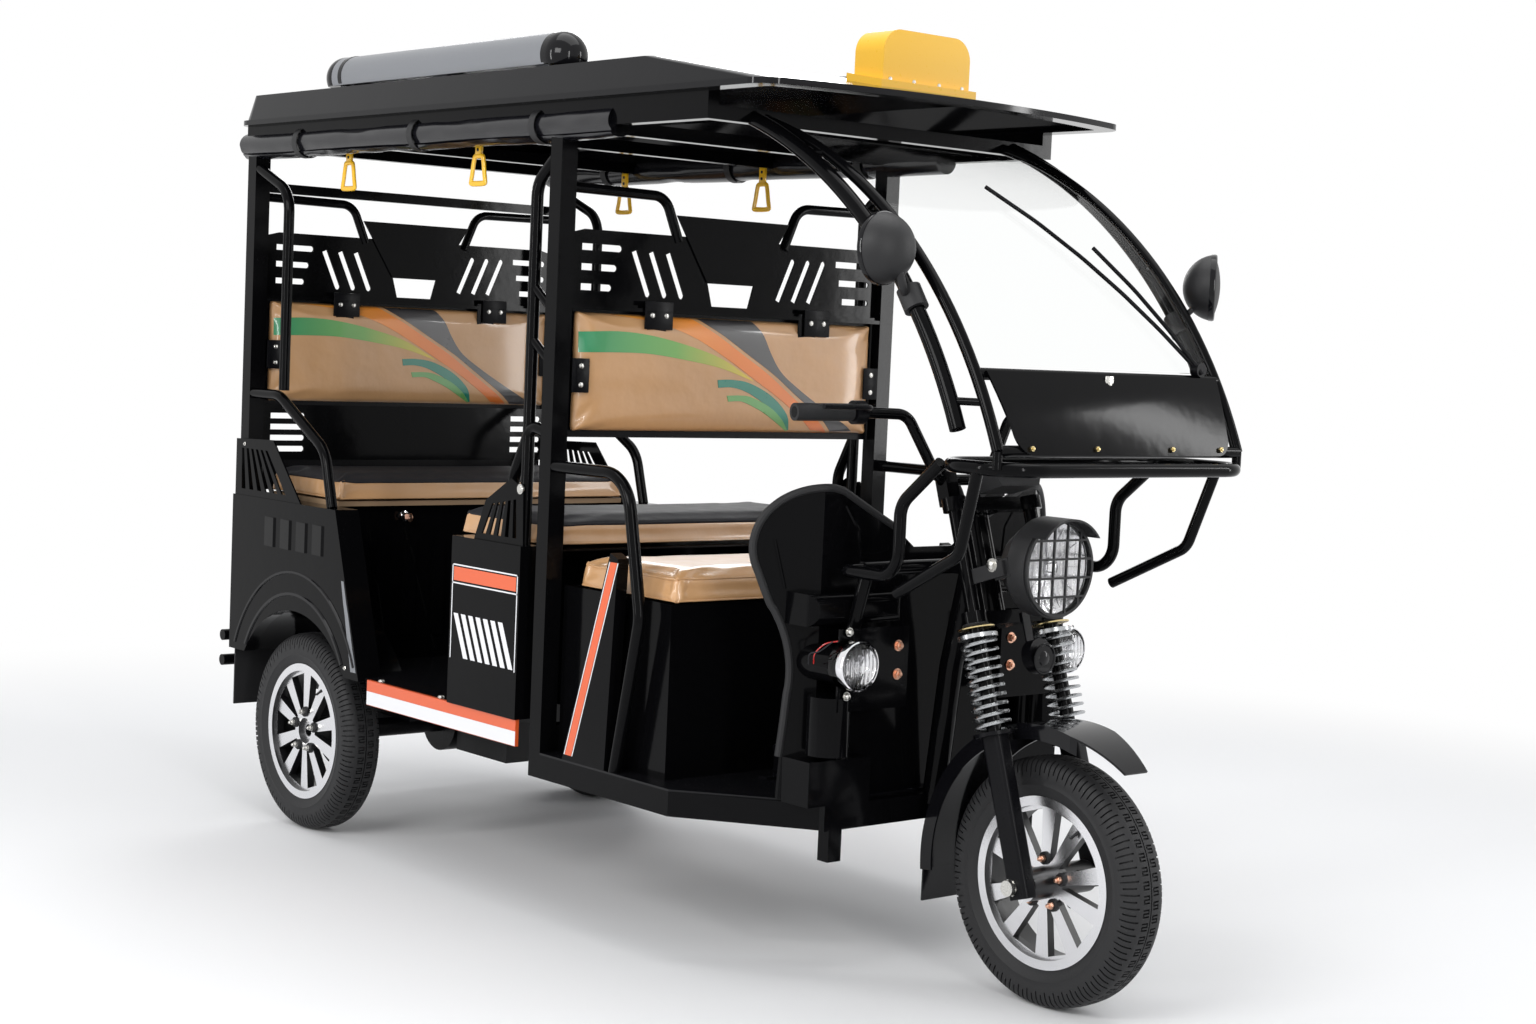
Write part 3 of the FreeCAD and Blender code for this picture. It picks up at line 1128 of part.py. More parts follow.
def build_nose():
    half = S.screen_half
    outer_half = half + S.pillar_step
    pillars = []
    for side in (-1, 1):
        pillars.append(bow_tube(side * half, S.screen_foot, S.screen_radius, S.screen_curve, S.screen_centre))
        pillars.append(bow_tube(side * outer_half, S.screen_foot + 34, S.pillar_radius, S.pillar_curve,
                                S.pillar_centre))
    bars = [tube([(-1 * half, screen_row(z), z), (half, screen_row(z), z)], S.screen_radius)
            for z in (S.screen_foot, S.screen_bar)]
    ties = []
    for z in (1150, 1420, 1600):
        outer_row = bowed(z, S.pillar_curve, S.pillar_centre)
        ties += tube_pair([(-1 * half, screen_row(z), z), (-1 * outer_half, outer_row, z)], 7)
    node(cut(fuse(pillars + bars + ties), PIECES["roof_frame"]), "windscreen_frame")
    glass = bow_band(S.screen_bar + S.screen_radius + S.glass_gap, S.glass_top, -1 * S.glass_thick / 2,
                     S.glass_thick / 2, half - S.screen_radius)
    node(cut(glass, PIECES["windscreen_frame"]), "windscreen_glass")
    low, high = S.screen_foot - 6, S.screen_bar + 6
    band = bow_band(low, high, S.screen_radius, S.screen_radius + S.sheet_thick, half - 10)
    foot, corner, top = S.panel_foot_half, S.panel_corner, half - 14
    loop = [(corner - foot, low), (foot - corner, low, -1 * corner), (foot, low + corner), (top, high),
            (-1 * top, high), (-1 * foot, low + corner, -1 * corner)]
    shape = plate("XZ_Plane", loop, FAR * 2, 0, 0, 0)
    node(cut(common([band, shape]), PIECES["windscreen_frame"]), "front_panel")
    build_nose_hoop()
    arm = [(274 - 124 * k / 3, screen_row(1214 + 236 * k / 3, 20), 1214 + 236 * k / 3) for k in range(4)]
    blade = [(266 - 266 * k / 5, screen_row(1230 + 330 * k / 5, 13), 1230 + 330 * k / 5) for k in range(6)]
    base = cylinder(274, screen_row(1222) - 26, S.screen_bar + 22, 14, 18, ALONG_Y)
    wiper = fuse([tube(arm, 4, 400), tube(blade, 4, 400), base])
    node(cut(wiper, PIECES["windscreen_frame"]), "wiper")


def build_nose_hoop():
    half, z, front, back = S.screen_half, S.hoop_height, row(-1 * S.hoop_front), row(S.hoop_back)
    ring = [(0, front, z), (-1 * half, front, z), (-1 * half, back, z), (0, back, z)]
    cross_y = row(S.front_beam) - 36
    stand = [(-250, cross_y, S.cross_height), (-300, cross_y, S.cross_height),
             (-300, row(160), S.cross_height), (-300, row(160), 950), (-300, back + 8, z)]
    rise_y = screen_row(S.screen_foot)
    rise = [(-1 * half, rise_y, z), (-1 * half, rise_y, S.screen_foot)]
    brace = [(-300, row(160), 784), (-316, row(-14), 872), (-1 * half, row(-66), z)]
    tubes = tube_pair(ring, S.hoop_radius, 84) + tube_pair(stand, 12, 50) + tube_pair(rise, 9)
    tubes += tube_pair(brace, 11, 40)
    node(cut(fuse(tubes), compound([PIECES["windscreen_frame"], PIECES["chassis_frame"]])), "nose_hoop")


def build_mirrors():
    """The two mirrors: deep housings, each turned its own way on an arm clamped to a windscreen tube."""
    outer = S.screen_half + S.pillar_step
    right_arm = [(-1 * outer, row(108), 1330), (-392, row(84), 1344), (-418, row(78), 1392)]
    left_arm = [(outer + 8, row(92), 1310), (outer + 18, row(64), 1336), (400, row(46), 1366)]
    pieces = []
    heads = ((-1, 116, 1416, 8, right_arm, 8), (1, 41, 1386, -142, left_arm, 6))
    for side, station, z, turn, arm, arm_radius in heads:
        foot = z - (106 if side < 0 else 96)
        clamp = cylinder(side * outer, bowed(foot, S.pillar_curve, S.pillar_centre), foot, 23, 44,
                         Rotation(Vector(1, 0, 0), -34))
        turned = Rotation(Vector(0, 0, 1), turn)
        housing, glass = [
            place(compound([domed(0, 0, 0, S.mirror_radius, depth)]), side * 420, row(station), z, turned)
            for depth in (S.mirror_depth, -1 * S.mirror_bulge)
        ]
        pieces += [cut(fuse([housing, clamp, tube(arm, arm_radius, 30)]), glass), glass]
    node(cut(compound(pieces), PIECES["windscreen_frame"]), "mirrors")


def domed(x, y, z, radius, depth):
    """A ball's cap with its flat face at y: it bulges forward, or back for a negative depth."""
    deep = abs(float(depth))
    ball = (float(radius) ** 2 + deep ** 2) / (2 * deep)
    ahead = Vector(0, -1 if float(depth) > 0 else 1, 0)
    centre = Vector(float(x), float(y), float(z)) + ahead * (deep - ball)
    latitude = math.degrees(math.asin((ball - deep) / ball))
    return shape_object(Part.makeSphere(ball, centre, ahead, latitude, 90, 360))


def build_cowl():
    """The leg shield: a sheet bent round behind the fork, cut to a waisted outline with two lobes."""
    half, face, side, top, waist = S.cowl_half, S.cowl_face, S.cowl_side, S.cowl_top, S.cowl_waist
    right = [(-1 * half, side), (110 - half, face + 4), (250 - half, face)]
    front = [(x, row(at)) for x, at in right] + [(-1 * x, row(at)) for x, at in reversed(right)]
    back = [(x * 0.99, y + S.cowl_sheet * 1.15) for x, y in reversed(front)]
    bent = plan_prism(front + back, S.cowl_bottom - 20, top - S.cowl_bottom + 40)
    lobe, hollow = S.lobe_radius, S.waist_radius
    loop = [
        (55 - half, S.cowl_bottom), (64 - half, waist, -1 * hollow), (22 - half, waist + 193),
        (9 - half, top - 166, lobe), (165 - half, top - 12), (297 - half, top - 81), (350 - half, top - 121),
        (half - 350, top - 121), (half - 297, top - 81), (half - 165, top - 12, lobe), (half - 9, top - 166),
        (half - 22, waist + 193, -1 * hollow), (half - 64, waist), (half - 55, S.cowl_bottom),
    ]
    shape = plate("XZ_Plane", loop, 400, 0, row(400), 0)
    shield = common([bent, shape])
    behind = plan_prism([(-600, 900.0)] + front + [(600, 900.0)], 200, 1000)
    shelf = box(55 - half, row(face - 37), 700, 240, 140, 62)
    front_edge = float(row(face - 37)) + 1
    shelf = softened(shelf, 18, lambda edge: edge.BoundBox.YMax < front_edge)
    plate_y = row(S.indicator_station) + S.indicator_depth
    x, z = -1 * S.indicator_x, S.indicator_height
    fittings = fuse([
        box(x - 19, plate_y, z - 93, 182, 5, 160),
        cylinder(x, plate_y, z - 6, 36, 140, ALONG_Y),
        box(x + 130, plate_y, z - 75, 8, 140, 110),
        cylinder(x - 3, row(face - 36), z - 181, 42, 114),
        box(60 - half, row(face - 42), S.cowl_bottom - 4, 160, 140, 88),
        shelf,
    ])
    ahead = cut(fittings, behind)
    node(both_sides(cylinder(x, row(S.indicator_station), z, S.indicator_radius, S.indicator_depth, ALONG_Y)),
         "front_indicators")
    neighbours = compound([PIECES[name] for name in ("nose_hoop", "chassis_frame", "floor_panels")])
    node(cut(fuse([shield, ahead, mirrored(ahead)]), neighbours), "cowl")


# Roof

def roof_ring(inset, ahead, z):
    """The roof's plan outline, drawn in from its rim: rounded corners and a bowed front edge."""
    front = float(row(S.roof_front)) + float(ahead)
    back, half = float(REAR_POST + S.roof_behind) - float(inset), float(ROOF_HALF) - float(inset)
    z, r, nose, turn = float(z), float(S.roof_corner) - float(inset), float(S.roof_nose), 0.0
    for _ in range(8):
        turn = 2 * math.atan(nose / (half - r + r * math.sin(turn)))
    y = front + nose + r * math.cos(turn)
    middle = (math.pi / 2 - turn) / 2
    rear_corner = [(half, back - r), (half - r * (1 - math.sqrt(0.5)), back - r * (1 - math.sqrt(0.5))),
                   (half - r, back)]
    front_corner = [(half, y), (half - r + r * math.cos(middle), y - r * math.sin(middle)),
                    (half - r + r * math.sin(turn), y - r * math.cos(turn))]
    left = [[Vector(px, py, z) for px, py in corner] for corner in (rear_corner, front_corner)]
    right = [[Vector(-p.x, p.y, z) for p in reversed(corner)] for corner in left]
    edges = [
        Part.makeLine(right[0][0], left[0][2]), Part.Arc(*reversed(left[0])).toShape(),
        Part.makeLine(left[0][0], left[1][0]), Part.Arc(*left[1]).toShape(),
        Part.Arc(left[1][2], Vector(0, front, z), right[1][0]).toShape(), Part.Arc(*right[1]).toShape(),
        Part.makeLine(right[1][2], right[0][2]), Part.Arc(*reversed(right[0])).toShape(),
    ]
    return Part.Wire(edges)


def ring_slab(inset, low, high, ahead=None):
    """The roof's plan outline raised between two heights."""
    outline_ring = roof_ring(inset, inset if ahead is None else ahead, low)
    return Part.Face(outline_ring).extrude(Vector(0, 0, float(high) - float(low)))


def build_roof():
    front, back = row(S.roof_front), REAR_POST + S.roof_behind
    rim, lip, deck, t = S.roof_rim, S.roof_rim + S.roof_lip, ROOF_DECK, S.roof_thick
    ledge, lean, slope = S.roof_ledge, S.roof_lean + S.roof_ledge, S.roof_slope
    dome = Part.makeLoft([roof_ring(ledge, ledge, lip), roof_ring(lean, slope, deck)], True, True)
    solid_roof = shape_object(ring_slab(0, rim, lip).fuse(dome))
    inner_start = ledge + t / (S.roof_rise - S.roof_lip) * (slope - ledge)
    inner_dome = Part.makeLoft([roof_ring(ledge + t, inner_start, lip), roof_ring(lean + t, slope, deck - t)],
                               True, True)
    space = ring_slab(S.roof_flange, rim - 1, rim + t + 1).fuse([
        ring_slab(ledge + t, rim + t, lip, inner_start), inner_dome])
    raised = [(front + slope + 170, deck), (front + slope + 210, deck + S.panel_rise),
              (back - 168, deck + S.panel_rise), (back - 128, deck)]
    panel = profile_prism(raised, -1 * S.panel_half, S.panel_half)
    node(fuse([cut(solid_roof, shape_object(space)), panel]), "roof_shell")
    size, start = S.roof_tube, row(S.roof_bow)
    rails = [box(x, start, POST_TOP, size, back - 30 - start, S.roof_rail)
             for x in (-1 * POST_HALF, POST_HALF - size)]
    bow_rows = [MIDDLE_POST + S.first_bow, MIDDLE_POST + S.first_bow + S.bow_step]
    bows = [box(-1 * POST_HALF, at, POST_TOP, POST_HALF * 2, size, size)
            for at in [start, MIDDLE_POST - size / 2, REAR_POST - size / 2] + bow_rows]
    node(fuse(rails + bows), "roof_frame")
    build_roof_fittings(solid_roof)
    radius = S.curtain_radius
    roll_x, roll_z = ROOF_HALF - radius - 1, rim - S.curtain_gap - radius
    rolls = [cylinder(side * roll_x, at, roll_z, radius, back - 10 - at, ALONG_Y)
             for side, at in ((-1, MIDDLE_POST + 60), (1, row(860)))]
    frame = compound([PIECES["roof_frame"], PIECES["middle_posts"], PIECES["rear_posts"]])
    node(cut(compound(rolls), frame), "curtain_rolls")
    handles = []
    for at in bow_rows:
        y, x = at + size / 2, roll_x - radius - 11
        loop = cut(box(x - 6, y - 34, POST_TOP - 106, 12, 68, 70),
                   box(x - 8, y - 22, POST_TOP - 96, 16, 44, 46))
        handles.append(fuse([loop, box(x - 4, y - 12, POST_TOP - 40, 8, 24, 40)]))
    node(both_sides(compound(handles)), "grab_handles")


def build_roof_fittings(solid_roof):
    """The two pods along the deck and the sign on the slope."""
    pods = []
    start, length, z, r = row(S.pod_start), S.pod_length, ROOF_DECK + S.pod_lift, S.pod_radius
    flat = ROOF_DECK + 6
    for x in (-1 * S.pod_half, S.pod_half):
        caps = [domed(x, start, z, r, S.pod_cap), domed(x, start + length, z, r, -1 * S.pod_cap)]
        under = box(x - r * 2, start - S.pod_cap * 2, flat - 200, r * 4, length + S.pod_cap * 4, 200)
        bar = cut(fuse([cylinder(x, start, z, r, length, ALONG_Y)] + caps), under)
        feet = [box(x - 24, start + (length - 60) * share, ROOF_DECK, 48, 60, 6) for share in (0, 0.5, 1)]
        pods.append(fuse([bar] + feet))
    node(compound(pods), "roof_pods")
    half, top, corner, y = S.sign_width / 2, ROOF_DECK + S.sign_top, 45, row(S.sign_station)
    foot = S.roof_rim + 4
    loop = [(-1 * half, foot), (half, foot), (half, top - corner, -1 * corner), (half - corner, top),
            (corner - half, top, -1 * corner), (-1 * half, top - corner)]
    box_part = plate("XZ_Plane", loop, S.sign_depth, 0, y, 0)
    depth = S.sign_depth / 2 + 10
    base = [(at, slope_height(at) + 14) for at in (y - depth, y + depth)]
    base += [(y + depth, foot), (y - depth, foot)]
    flange = profile_prism(base, -12 - half, half + 12)
    node(cut(fuse([box_part, flange]), solid_roof), "roof_sign")


def slope_height(y):
    """The height of the roof's front slope at a row."""
    run = (y - row(S.roof_front) - S.roof_ledge) / (S.roof_slope - S.roof_ledge)
    return S.roof_rim + S.roof_lip + run * (S.roof_rise - S.roof_lip)


# Running gear

def build_running_gear():
    inner = WHEEL_X - S.rim_width / 2 - 14
    casing = cylinder(4 - inner, REAR_AXLE, S.tyre_radius, S.axle_tube_radius, inner * 2 - 8, ALONG_X)
    drums, spindles = [], []
    for side in (-1, 1):
        drums.append(cylinder(side * (inner - 8) - 8, REAR_AXLE, S.tyre_radius, S.drum_radius, 16, ALONG_X))
        spindle_x = side * (WHEEL_X - 60) - 60
        spindles.append(cylinder(spindle_x, REAR_AXLE, S.tyre_radius, S.spindle_radius, 120, ALONG_X))
    case = cylinder(-70, REAR_AXLE, S.tyre_radius, 78, 140, ALONG_X)
    node(fuse([casing, case] + drums + spindles), "rear_axle")
    side = S.motor_side
    motor_z = S.tyre_radius - side / 2 + 11
    motor_front = REAR_AXLE - 78 - S.motor_length
    node(box(11 - side / 2, motor_front, motor_z, side, S.motor_length, side), "drive_motor")
    node(both_sides(leaf_spring(-1 * S.rail_spread)), "leaf_springs")
    pedal = fuse([box(150, row(430), S.driver_floor + 60, 70, 40, 8),
                  tube([(185, row(470), S.driver_floor + 62), (185, row(560), S.driver_floor)], 8)])
    lever = fuse([tube([(-150, row(655), S.driver_floor + 46), (-150, row(560), S.driver_floor + 60)], 8),
                  box(-158, row(600), S.driver_floor, 16, 50, 54),
                  cylinder(-150, row(560) - 90, S.driver_floor + 61, 16, 90, ALONG_Y)])
    node(cut(compound([pedal, lever]), PIECES["floor_panels"]), "floor_controls")


def leaf_spring(x):
    """Four leaves over the axle, the seat that clamps them, and the two hangers under the chassis rail."""
    z = S.tyre_radius + 62
    rail_foot = DECK_TOP - S.rail_height
    leaves = [box(x - 25, REAR_AXLE - 340 + 50 * k, z - 8 * k, 50, 660 - 100 * k, 8) for k in range(4)]
    casing = cylinder(x - 50, REAR_AXLE, S.tyre_radius, S.axle_tube_radius, 100, ALONG_X)
    seat = cut(box(x - 30, REAR_AXLE - 40, S.tyre_radius + 24, 60, 80, 14), casing)
    hangers = [box(x - 8, REAR_AXLE + at, z - 2, 16, 30, rail_foot - z + 2) for at in (-340, 290)]
    return fuse(leaves + [seat] + hangers)


def main():
    build_wheels()
    build_handlebar()
    build_fork()
    build_headlamp()
    build_dash()
    build_mudguard()
    build_front_axle()
    build_chassis()
    build_floors()
    build_posts()
    build_seats()
    build_backs()
    build_side_panels()
    build_rear_body()
    build_roof()
    build_nose()
    build_mirrors()
    build_cowl()
    build_running_gear()
    doc.recompute()
    os.makedirs("parts", exist_ok=True)
    for thing in doc.Objects:
        if "Invalid" in thing.State or "Error" in thing.State:
            print("bad object", thing.Label, thing.getStatusString())
    for thing in PIECES.values():
        shape = thing.Shape
        if shape.isNull() or not shape.isValid() or not shape.Solids:
            print("bad shape", thing.Label)
            continue
        shape.exportStep("parts/%s.step" % thing.Label)
        print("%-22s %7.3f l %s" % (thing.Label, shape.Volume / 1e6, shape.BoundBox))


main()
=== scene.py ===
# %% [markdown]
# An electric passenger rickshaw stands in a white studio. The engineering model gives every solid part, its size
# and its joints. This notebook loads that model as a fixed frame and dresses it: paint, rubber, film-wrapped
# cushions, tyre tread, bolts and stripes. Everything is in metres. +Z is up, the front faces -Y and the vehicle's
# left side is +X.

# %% Load the model
import json
import math

import bmesh
import bpy
from mathutils import Matrix, Vector, noise
from mathutils.bvhtree import BVHTree


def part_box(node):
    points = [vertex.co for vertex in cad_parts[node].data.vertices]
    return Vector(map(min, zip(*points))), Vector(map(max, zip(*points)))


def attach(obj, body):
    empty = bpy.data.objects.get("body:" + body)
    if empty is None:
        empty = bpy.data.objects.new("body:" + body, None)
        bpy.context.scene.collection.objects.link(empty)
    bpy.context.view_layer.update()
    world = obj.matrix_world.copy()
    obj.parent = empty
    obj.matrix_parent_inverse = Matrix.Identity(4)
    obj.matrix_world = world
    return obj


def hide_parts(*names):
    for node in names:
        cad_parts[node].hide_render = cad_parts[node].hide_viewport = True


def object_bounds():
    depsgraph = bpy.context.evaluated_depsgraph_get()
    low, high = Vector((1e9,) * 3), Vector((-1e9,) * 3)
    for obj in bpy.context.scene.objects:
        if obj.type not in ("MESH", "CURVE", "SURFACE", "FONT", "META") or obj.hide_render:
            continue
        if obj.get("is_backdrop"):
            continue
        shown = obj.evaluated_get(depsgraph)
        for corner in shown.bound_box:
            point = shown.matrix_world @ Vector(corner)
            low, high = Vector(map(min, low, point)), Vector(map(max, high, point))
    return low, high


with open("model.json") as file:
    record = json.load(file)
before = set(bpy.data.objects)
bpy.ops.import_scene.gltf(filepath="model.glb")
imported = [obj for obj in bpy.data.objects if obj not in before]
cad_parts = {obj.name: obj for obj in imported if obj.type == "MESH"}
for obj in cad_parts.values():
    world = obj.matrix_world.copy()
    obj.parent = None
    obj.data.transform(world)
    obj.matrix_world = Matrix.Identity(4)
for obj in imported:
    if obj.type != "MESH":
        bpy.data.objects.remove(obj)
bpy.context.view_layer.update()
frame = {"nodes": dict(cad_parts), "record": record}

# %% [markdown]
# The photograph was taken at chest height from the front right corner. A camera solved from the wheel rims, the
# posts and the roof gives its place, its three angles and its lens. A camera looks along its own -Z, so the
# rotation matrix is built from right, up and the reversed view direction.

# %% Camera
CAMERA_PLACE = Vector((-3.3118, -4.0799, 1.2444))
CAMERA_YAW = math.radians(40.59)
CAMERA_PITCH = math.radians(-4.207)
CAMERA_ROLL = math.radians(2.555)
CAMERA_LENS = 55.03

look = Vector((
    math.sin(CAMERA_YAW) * math.cos(CAMERA_PITCH),
    math.cos(CAMERA_YAW) * math.cos(CAMERA_PITCH),
    math.sin(CAMERA_PITCH),
))
level_right = Vector((math.cos(CAMERA_YAW), -math.sin(CAMERA_YAW), 0))
level_up = level_right.cross(look)
right = level_right * math.cos(CAMERA_ROLL) + level_up * math.sin(CAMERA_ROLL)
up = level_up * math.cos(CAMERA_ROLL) - level_right * math.sin(CAMERA_ROLL)

camera_data = bpy.data.cameras.new("studio_camera")
camera_data.lens = CAMERA_LENS
camera_data.sensor_width = 36
camera = bpy.data.objects.new("studio_camera", camera_data)
bpy.context.scene.collection.objects.link(camera)
camera.matrix_world = Matrix.Translation(CAMERA_PLACE) @ Matrix((right, up, -look)).transposed().to_4x4()
bpy.context.scene.camera = camera
bpy.context.scene.view_settings.view_transform = "Standard"
print("camera", round((CAMERA_PLACE - Vector((0, 0, 0.9))).length, 2), "m from the middle of the vehicle")

# %% [markdown]
# The studio is a white sweep. Near the vehicle the floor is an ordinary pale surface that takes the shadows.
# Further out it turns, by its own coordinates, into a plain white glow, so that no horizon shows. The world is
# the same white for the eye, for reflections and through glass, and a softer one for the light that it gives.

# %% Sweep and world
SWEEP_NEAR, SWEEP_FAR = 2.3, 4.2


def feed(tree, node, inputs):
    """Sets a shader node's inputs: a value is typed in, and another node's output is linked."""
    for name, value in inputs.items():
        if isinstance(value, bpy.types.NodeSocket):
            tree.links.new(value, node.inputs[name])
        else:
            node.inputs[name].default_value = value
    return node


def grow(tree, kind, inputs, **settings):
    """A new shader node of a kind, with its settings and its inputs."""
    made = tree.nodes.new("ShaderNode" + kind)
    for name, value in settings.items():
        setattr(made, name, value)
    return feed(tree, made, inputs)


def new_material(name):
    """A material, its node tree and its main shader."""
    material = bpy.data.materials.new(name)
    material.use_nodes = True
    return material, material.node_tree, material.node_tree.nodes["Principled BSDF"]


def seen_directly(tree):
    """One for rays from the eye, off shiny surfaces and through glass, and nought for soft bounced light."""
    path = grow(tree, "LightPath", {})
    total = path.outputs["Is Camera Ray"]
    for kind in ("Is Glossy Ray", "Is Transmission Ray"):
        total = grow(tree, "Math", {0: total, 1: path.outputs[kind]}, operation="MAXIMUM").outputs[0]
    return total


sweep, sweep_tree, sweep_shader = new_material("studio_floor")
feed(sweep_tree, sweep_shader, {"Base Color": (0.9, 0.9, 0.9, 1), "Roughness": 0.7, "Specular IOR Level": 0.2})
sweep_place = grow(sweep_tree, "TexCoord", {})
distance = grow(sweep_tree, "VectorMath", {0: sweep_place.outputs["Object"]}, operation="LENGTH")
fade = grow(sweep_tree, "MapRange", {"From Min": SWEEP_NEAR, "From Max": SWEEP_FAR,
                                     "Value": distance.outputs["Value"]}, interpolation_type="SMOOTHSTEP")
fade_seen = grow(sweep_tree, "Math", {0: fade.outputs["Result"], 1: seen_directly(sweep_tree)}, operation="MULTIPLY")
glow = grow(sweep_tree, "Emission", {})
sweep_mix = grow(sweep_tree, "MixShader", {"Fac": fade_seen.outputs[0], 1: sweep_shader.outputs["BSDF"],
                                           2: glow.outputs["Emission"]})
feed(sweep_tree, sweep_tree.nodes["Material Output"], {"Surface": sweep_mix.outputs["Shader"]})

bpy.ops.mesh.primitive_plane_add(size=80, location=(0, 0, 0))
studio_floor = bpy.context.object
studio_floor.name = "studio_floor"
studio_floor.data.materials.append(sweep)
studio_floor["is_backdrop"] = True

world = bpy.data.worlds.new("studio_world")
bpy.context.scene.world = world
world.use_nodes = True
world_tree = world.node_tree
soft_light = feed(world_tree, world_tree.nodes["Background"], {"Color": (0.94, 0.96, 1.0, 1), "Strength": 0.5})
white_glow = grow(world_tree, "Background", {"Color": (1, 1, 1, 1)})
world_mix = grow(world_tree, "MixShader", {"Fac": seen_directly(world_tree), 1: soft_light.outputs["Background"],
                                           2: white_glow.outputs["Background"]})
feed(world_tree, world_tree.nodes["World Output"], {"Surface": world_mix.outputs["Shader"]})
print("the floor turns white between", SWEEP_NEAR, "and", SWEEP_FAR, "m")

# %% [markdown]
# Black gloss shows its form by its highlights alone. Three broad lamps give the soft light, and three narrow strip
# lamps draw the bright lines along posts and tubes. A strip is far brighter than a broad lamp of the same power,
# so it shows in black paint and still adds little light to the tan seats.

# %% Lamps
def lamp(name, place, target, size, watts):
    """An area lamp at a place, aimed at a target."""
    data = bpy.data.lights.new(name, "AREA")
    data.shape = "RECTANGLE"
    data.size, data.size_y = size
    data.energy = watts
    made = bpy.data.objects.new(name, data)
    bpy.context.scene.collection.objects.link(made)
    made.location = place
    made.rotation_euler = (Vector(target) - Vector(place)).to_track_quat("-Z", "Y").to_euler()
    print(name, watts, "W")


lamp("key_right", (-4.4, -1.6, 3.2), (0, 0, 0.8), (2.2, 1.6), 95)
lamp("top_soft", (0.2, -0.4, 4.8), (0, 0, 0), (3.2, 4.2), 95)
lamp("strip_right", (-4.2, 0.9, 1.7), (-0.4, 0.1, 0.9), (0.24, 2.6), 42)
lamp("strip_front", (-1.5, -4.6, 1.9), (0, -0.6, 0.8), (0.24, 2.6), 42)
lamp("strip_left", (3.4, -3.2, 2.0), (0.3, -0.4, 0.9), (0.3, 2.6), 34)
lamp("back_soft", (2.6, 3.8, 2.6), (0, 0.4, 0.9), (2.0, 1.6), 50)

# %% [markdown]
# Paint, plastic, rubber and vinyl differ in a few numbers only: how rough they are, how strongly they mirror, and
# what fine texture breaks up the highlight. One helper sets those numbers. Its noise textures read the object's
# own coordinates, so the pattern stays on the part in every view.

# %% Finish helper
def finish(name, colour, rough=0.4, metal=0.0, coat=0.0, mirror=0.5, grain=60.0, bump=0.05, vary=0.1, spread=0.08,
           broad_bump=0.0, broad_scale=3.0):
    """A material whose colour, roughness and surface vary a little with noise."""
    material, tree, shader = new_material(name)
    place = grow(tree, "TexCoord", {}).outputs["Object"]
    fine = grow(tree, "TexNoise", {"Scale": grain, "Detail": 4, "Vector": place}).outputs["Fac"]
    broad = grow(tree, "TexNoise", {"Scale": broad_scale, "Detail": 3, "Vector": place}).outputs["Fac"]
    tint = grow(tree, "Mix", {"A": (*[c * (1 - vary) for c in colour], 1),
                              "B": (*[min(1, c * (1 + vary)) for c in colour], 1), "Factor": broad}, data_type="RGBA")
    rough_range = grow(tree, "MapRange", {"To Min": max(0.02, rough - spread), "To Max": min(1.0, rough + spread),
                                          "Value": fine})
    relief = grow(tree, "Bump", {"Strength": bump, "Distance": 0.001, "Height": fine})
    if broad_bump:
        relief = grow(tree, "Bump", {"Strength": broad_bump, "Distance": 0.01, "Height": broad,
                                     "Normal": relief.outputs["Normal"]})
    feed(tree, shader, {"Base Color": tint.outputs["Result"], "Roughness": rough_range.outputs["Result"],
                        "Normal": relief.outputs["Normal"], "Metallic": metal, "Specular IOR Level": mirror,
                        "Coat Weight": coat, "Coat Roughness": 0.06})
    return material


# %% [markdown]
# The real paint is a deep black that mirrors only its brightest surroundings, so its mirror strength stays low and
# its roughness too. Rubber and grained plastic are a little paler and scatter the light. Steel and alloy are
# metals: their colour is the colour of their reflections.

# %% Finishes
gloss_paint = finish("gloss_black_paint", (0.0022, 0.0022, 0.0026), rough=0.1, mirror=0.08, grain=240, bump=0.012,
                     spread=0.03, broad_bump=0.05, broad_scale=9)
floor_paint = finish("floor_black_paint", (0.005, 0.005, 0.006), rough=0.2, mirror=0.22, grain=90, bump=0.05,
                     broad_bump=0.12, broad_scale=6)
satin_paint = finish("satin_black_paint", (0.004, 0.004, 0.005), rough=0.3, mirror=0.1, grain=180, bump=0.06)
cast_paint = finish("cast_black_paint", (0.014, 0.014, 0.015), rough=0.55, mirror=0.3, grain=320, bump=0.35)
gloss_plastic = finish("gloss_black_plastic", (0.004, 0.004, 0.005), rough=0.1, mirror=0.22, grain=50, bump=0.01,
                       spread=0.03, broad_bump=0.05, broad_scale=5)
matte_plastic = finish("matte_black_plastic", (0.012, 0.012, 0.013), rough=0.5, mirror=0.35, grain=700, bump=0.3,
                       spread=0.05)
rubber = finish("black_rubber", (0.010, 0.010, 0.011), rough=0.62, mirror=0.35, grain=420, bump=0.25)
tyre_rubber = finish("tyre_rubber", (0.013, 0.013, 0.014), rough=0.6, mirror=0.35, grain=300, bump=0.2, vary=0.25)
bright_steel = finish("zinc_steel", (0.62, 0.61, 0.58), rough=0.28, metal=1.0, grain=300, bump=0.08)
spring_steel = finish("spring_steel", (0.42, 0.43, 0.44), rough=0.27, metal=1.0, grain=200, bump=0.04)
chrome = finish("chrome", (0.82, 0.82, 0.84), rough=0.06, metal=1.0, grain=80, bump=0.01, spread=0.03)
brass = finish("brass_washer", (0.70, 0.56, 0.28), rough=0.25, metal=1.0, grain=150, bump=0.05)
copper = finish("copper_plated_bolt", (0.72, 0.42, 0.30), rough=0.3, metal=1.0, grain=260, bump=0.08)
brushed_alloy = finish("silver_wrap", (0.27, 0.28, 0.30), rough=0.34, metal=0.85, grain=220, bump=0.08, vary=0.06)
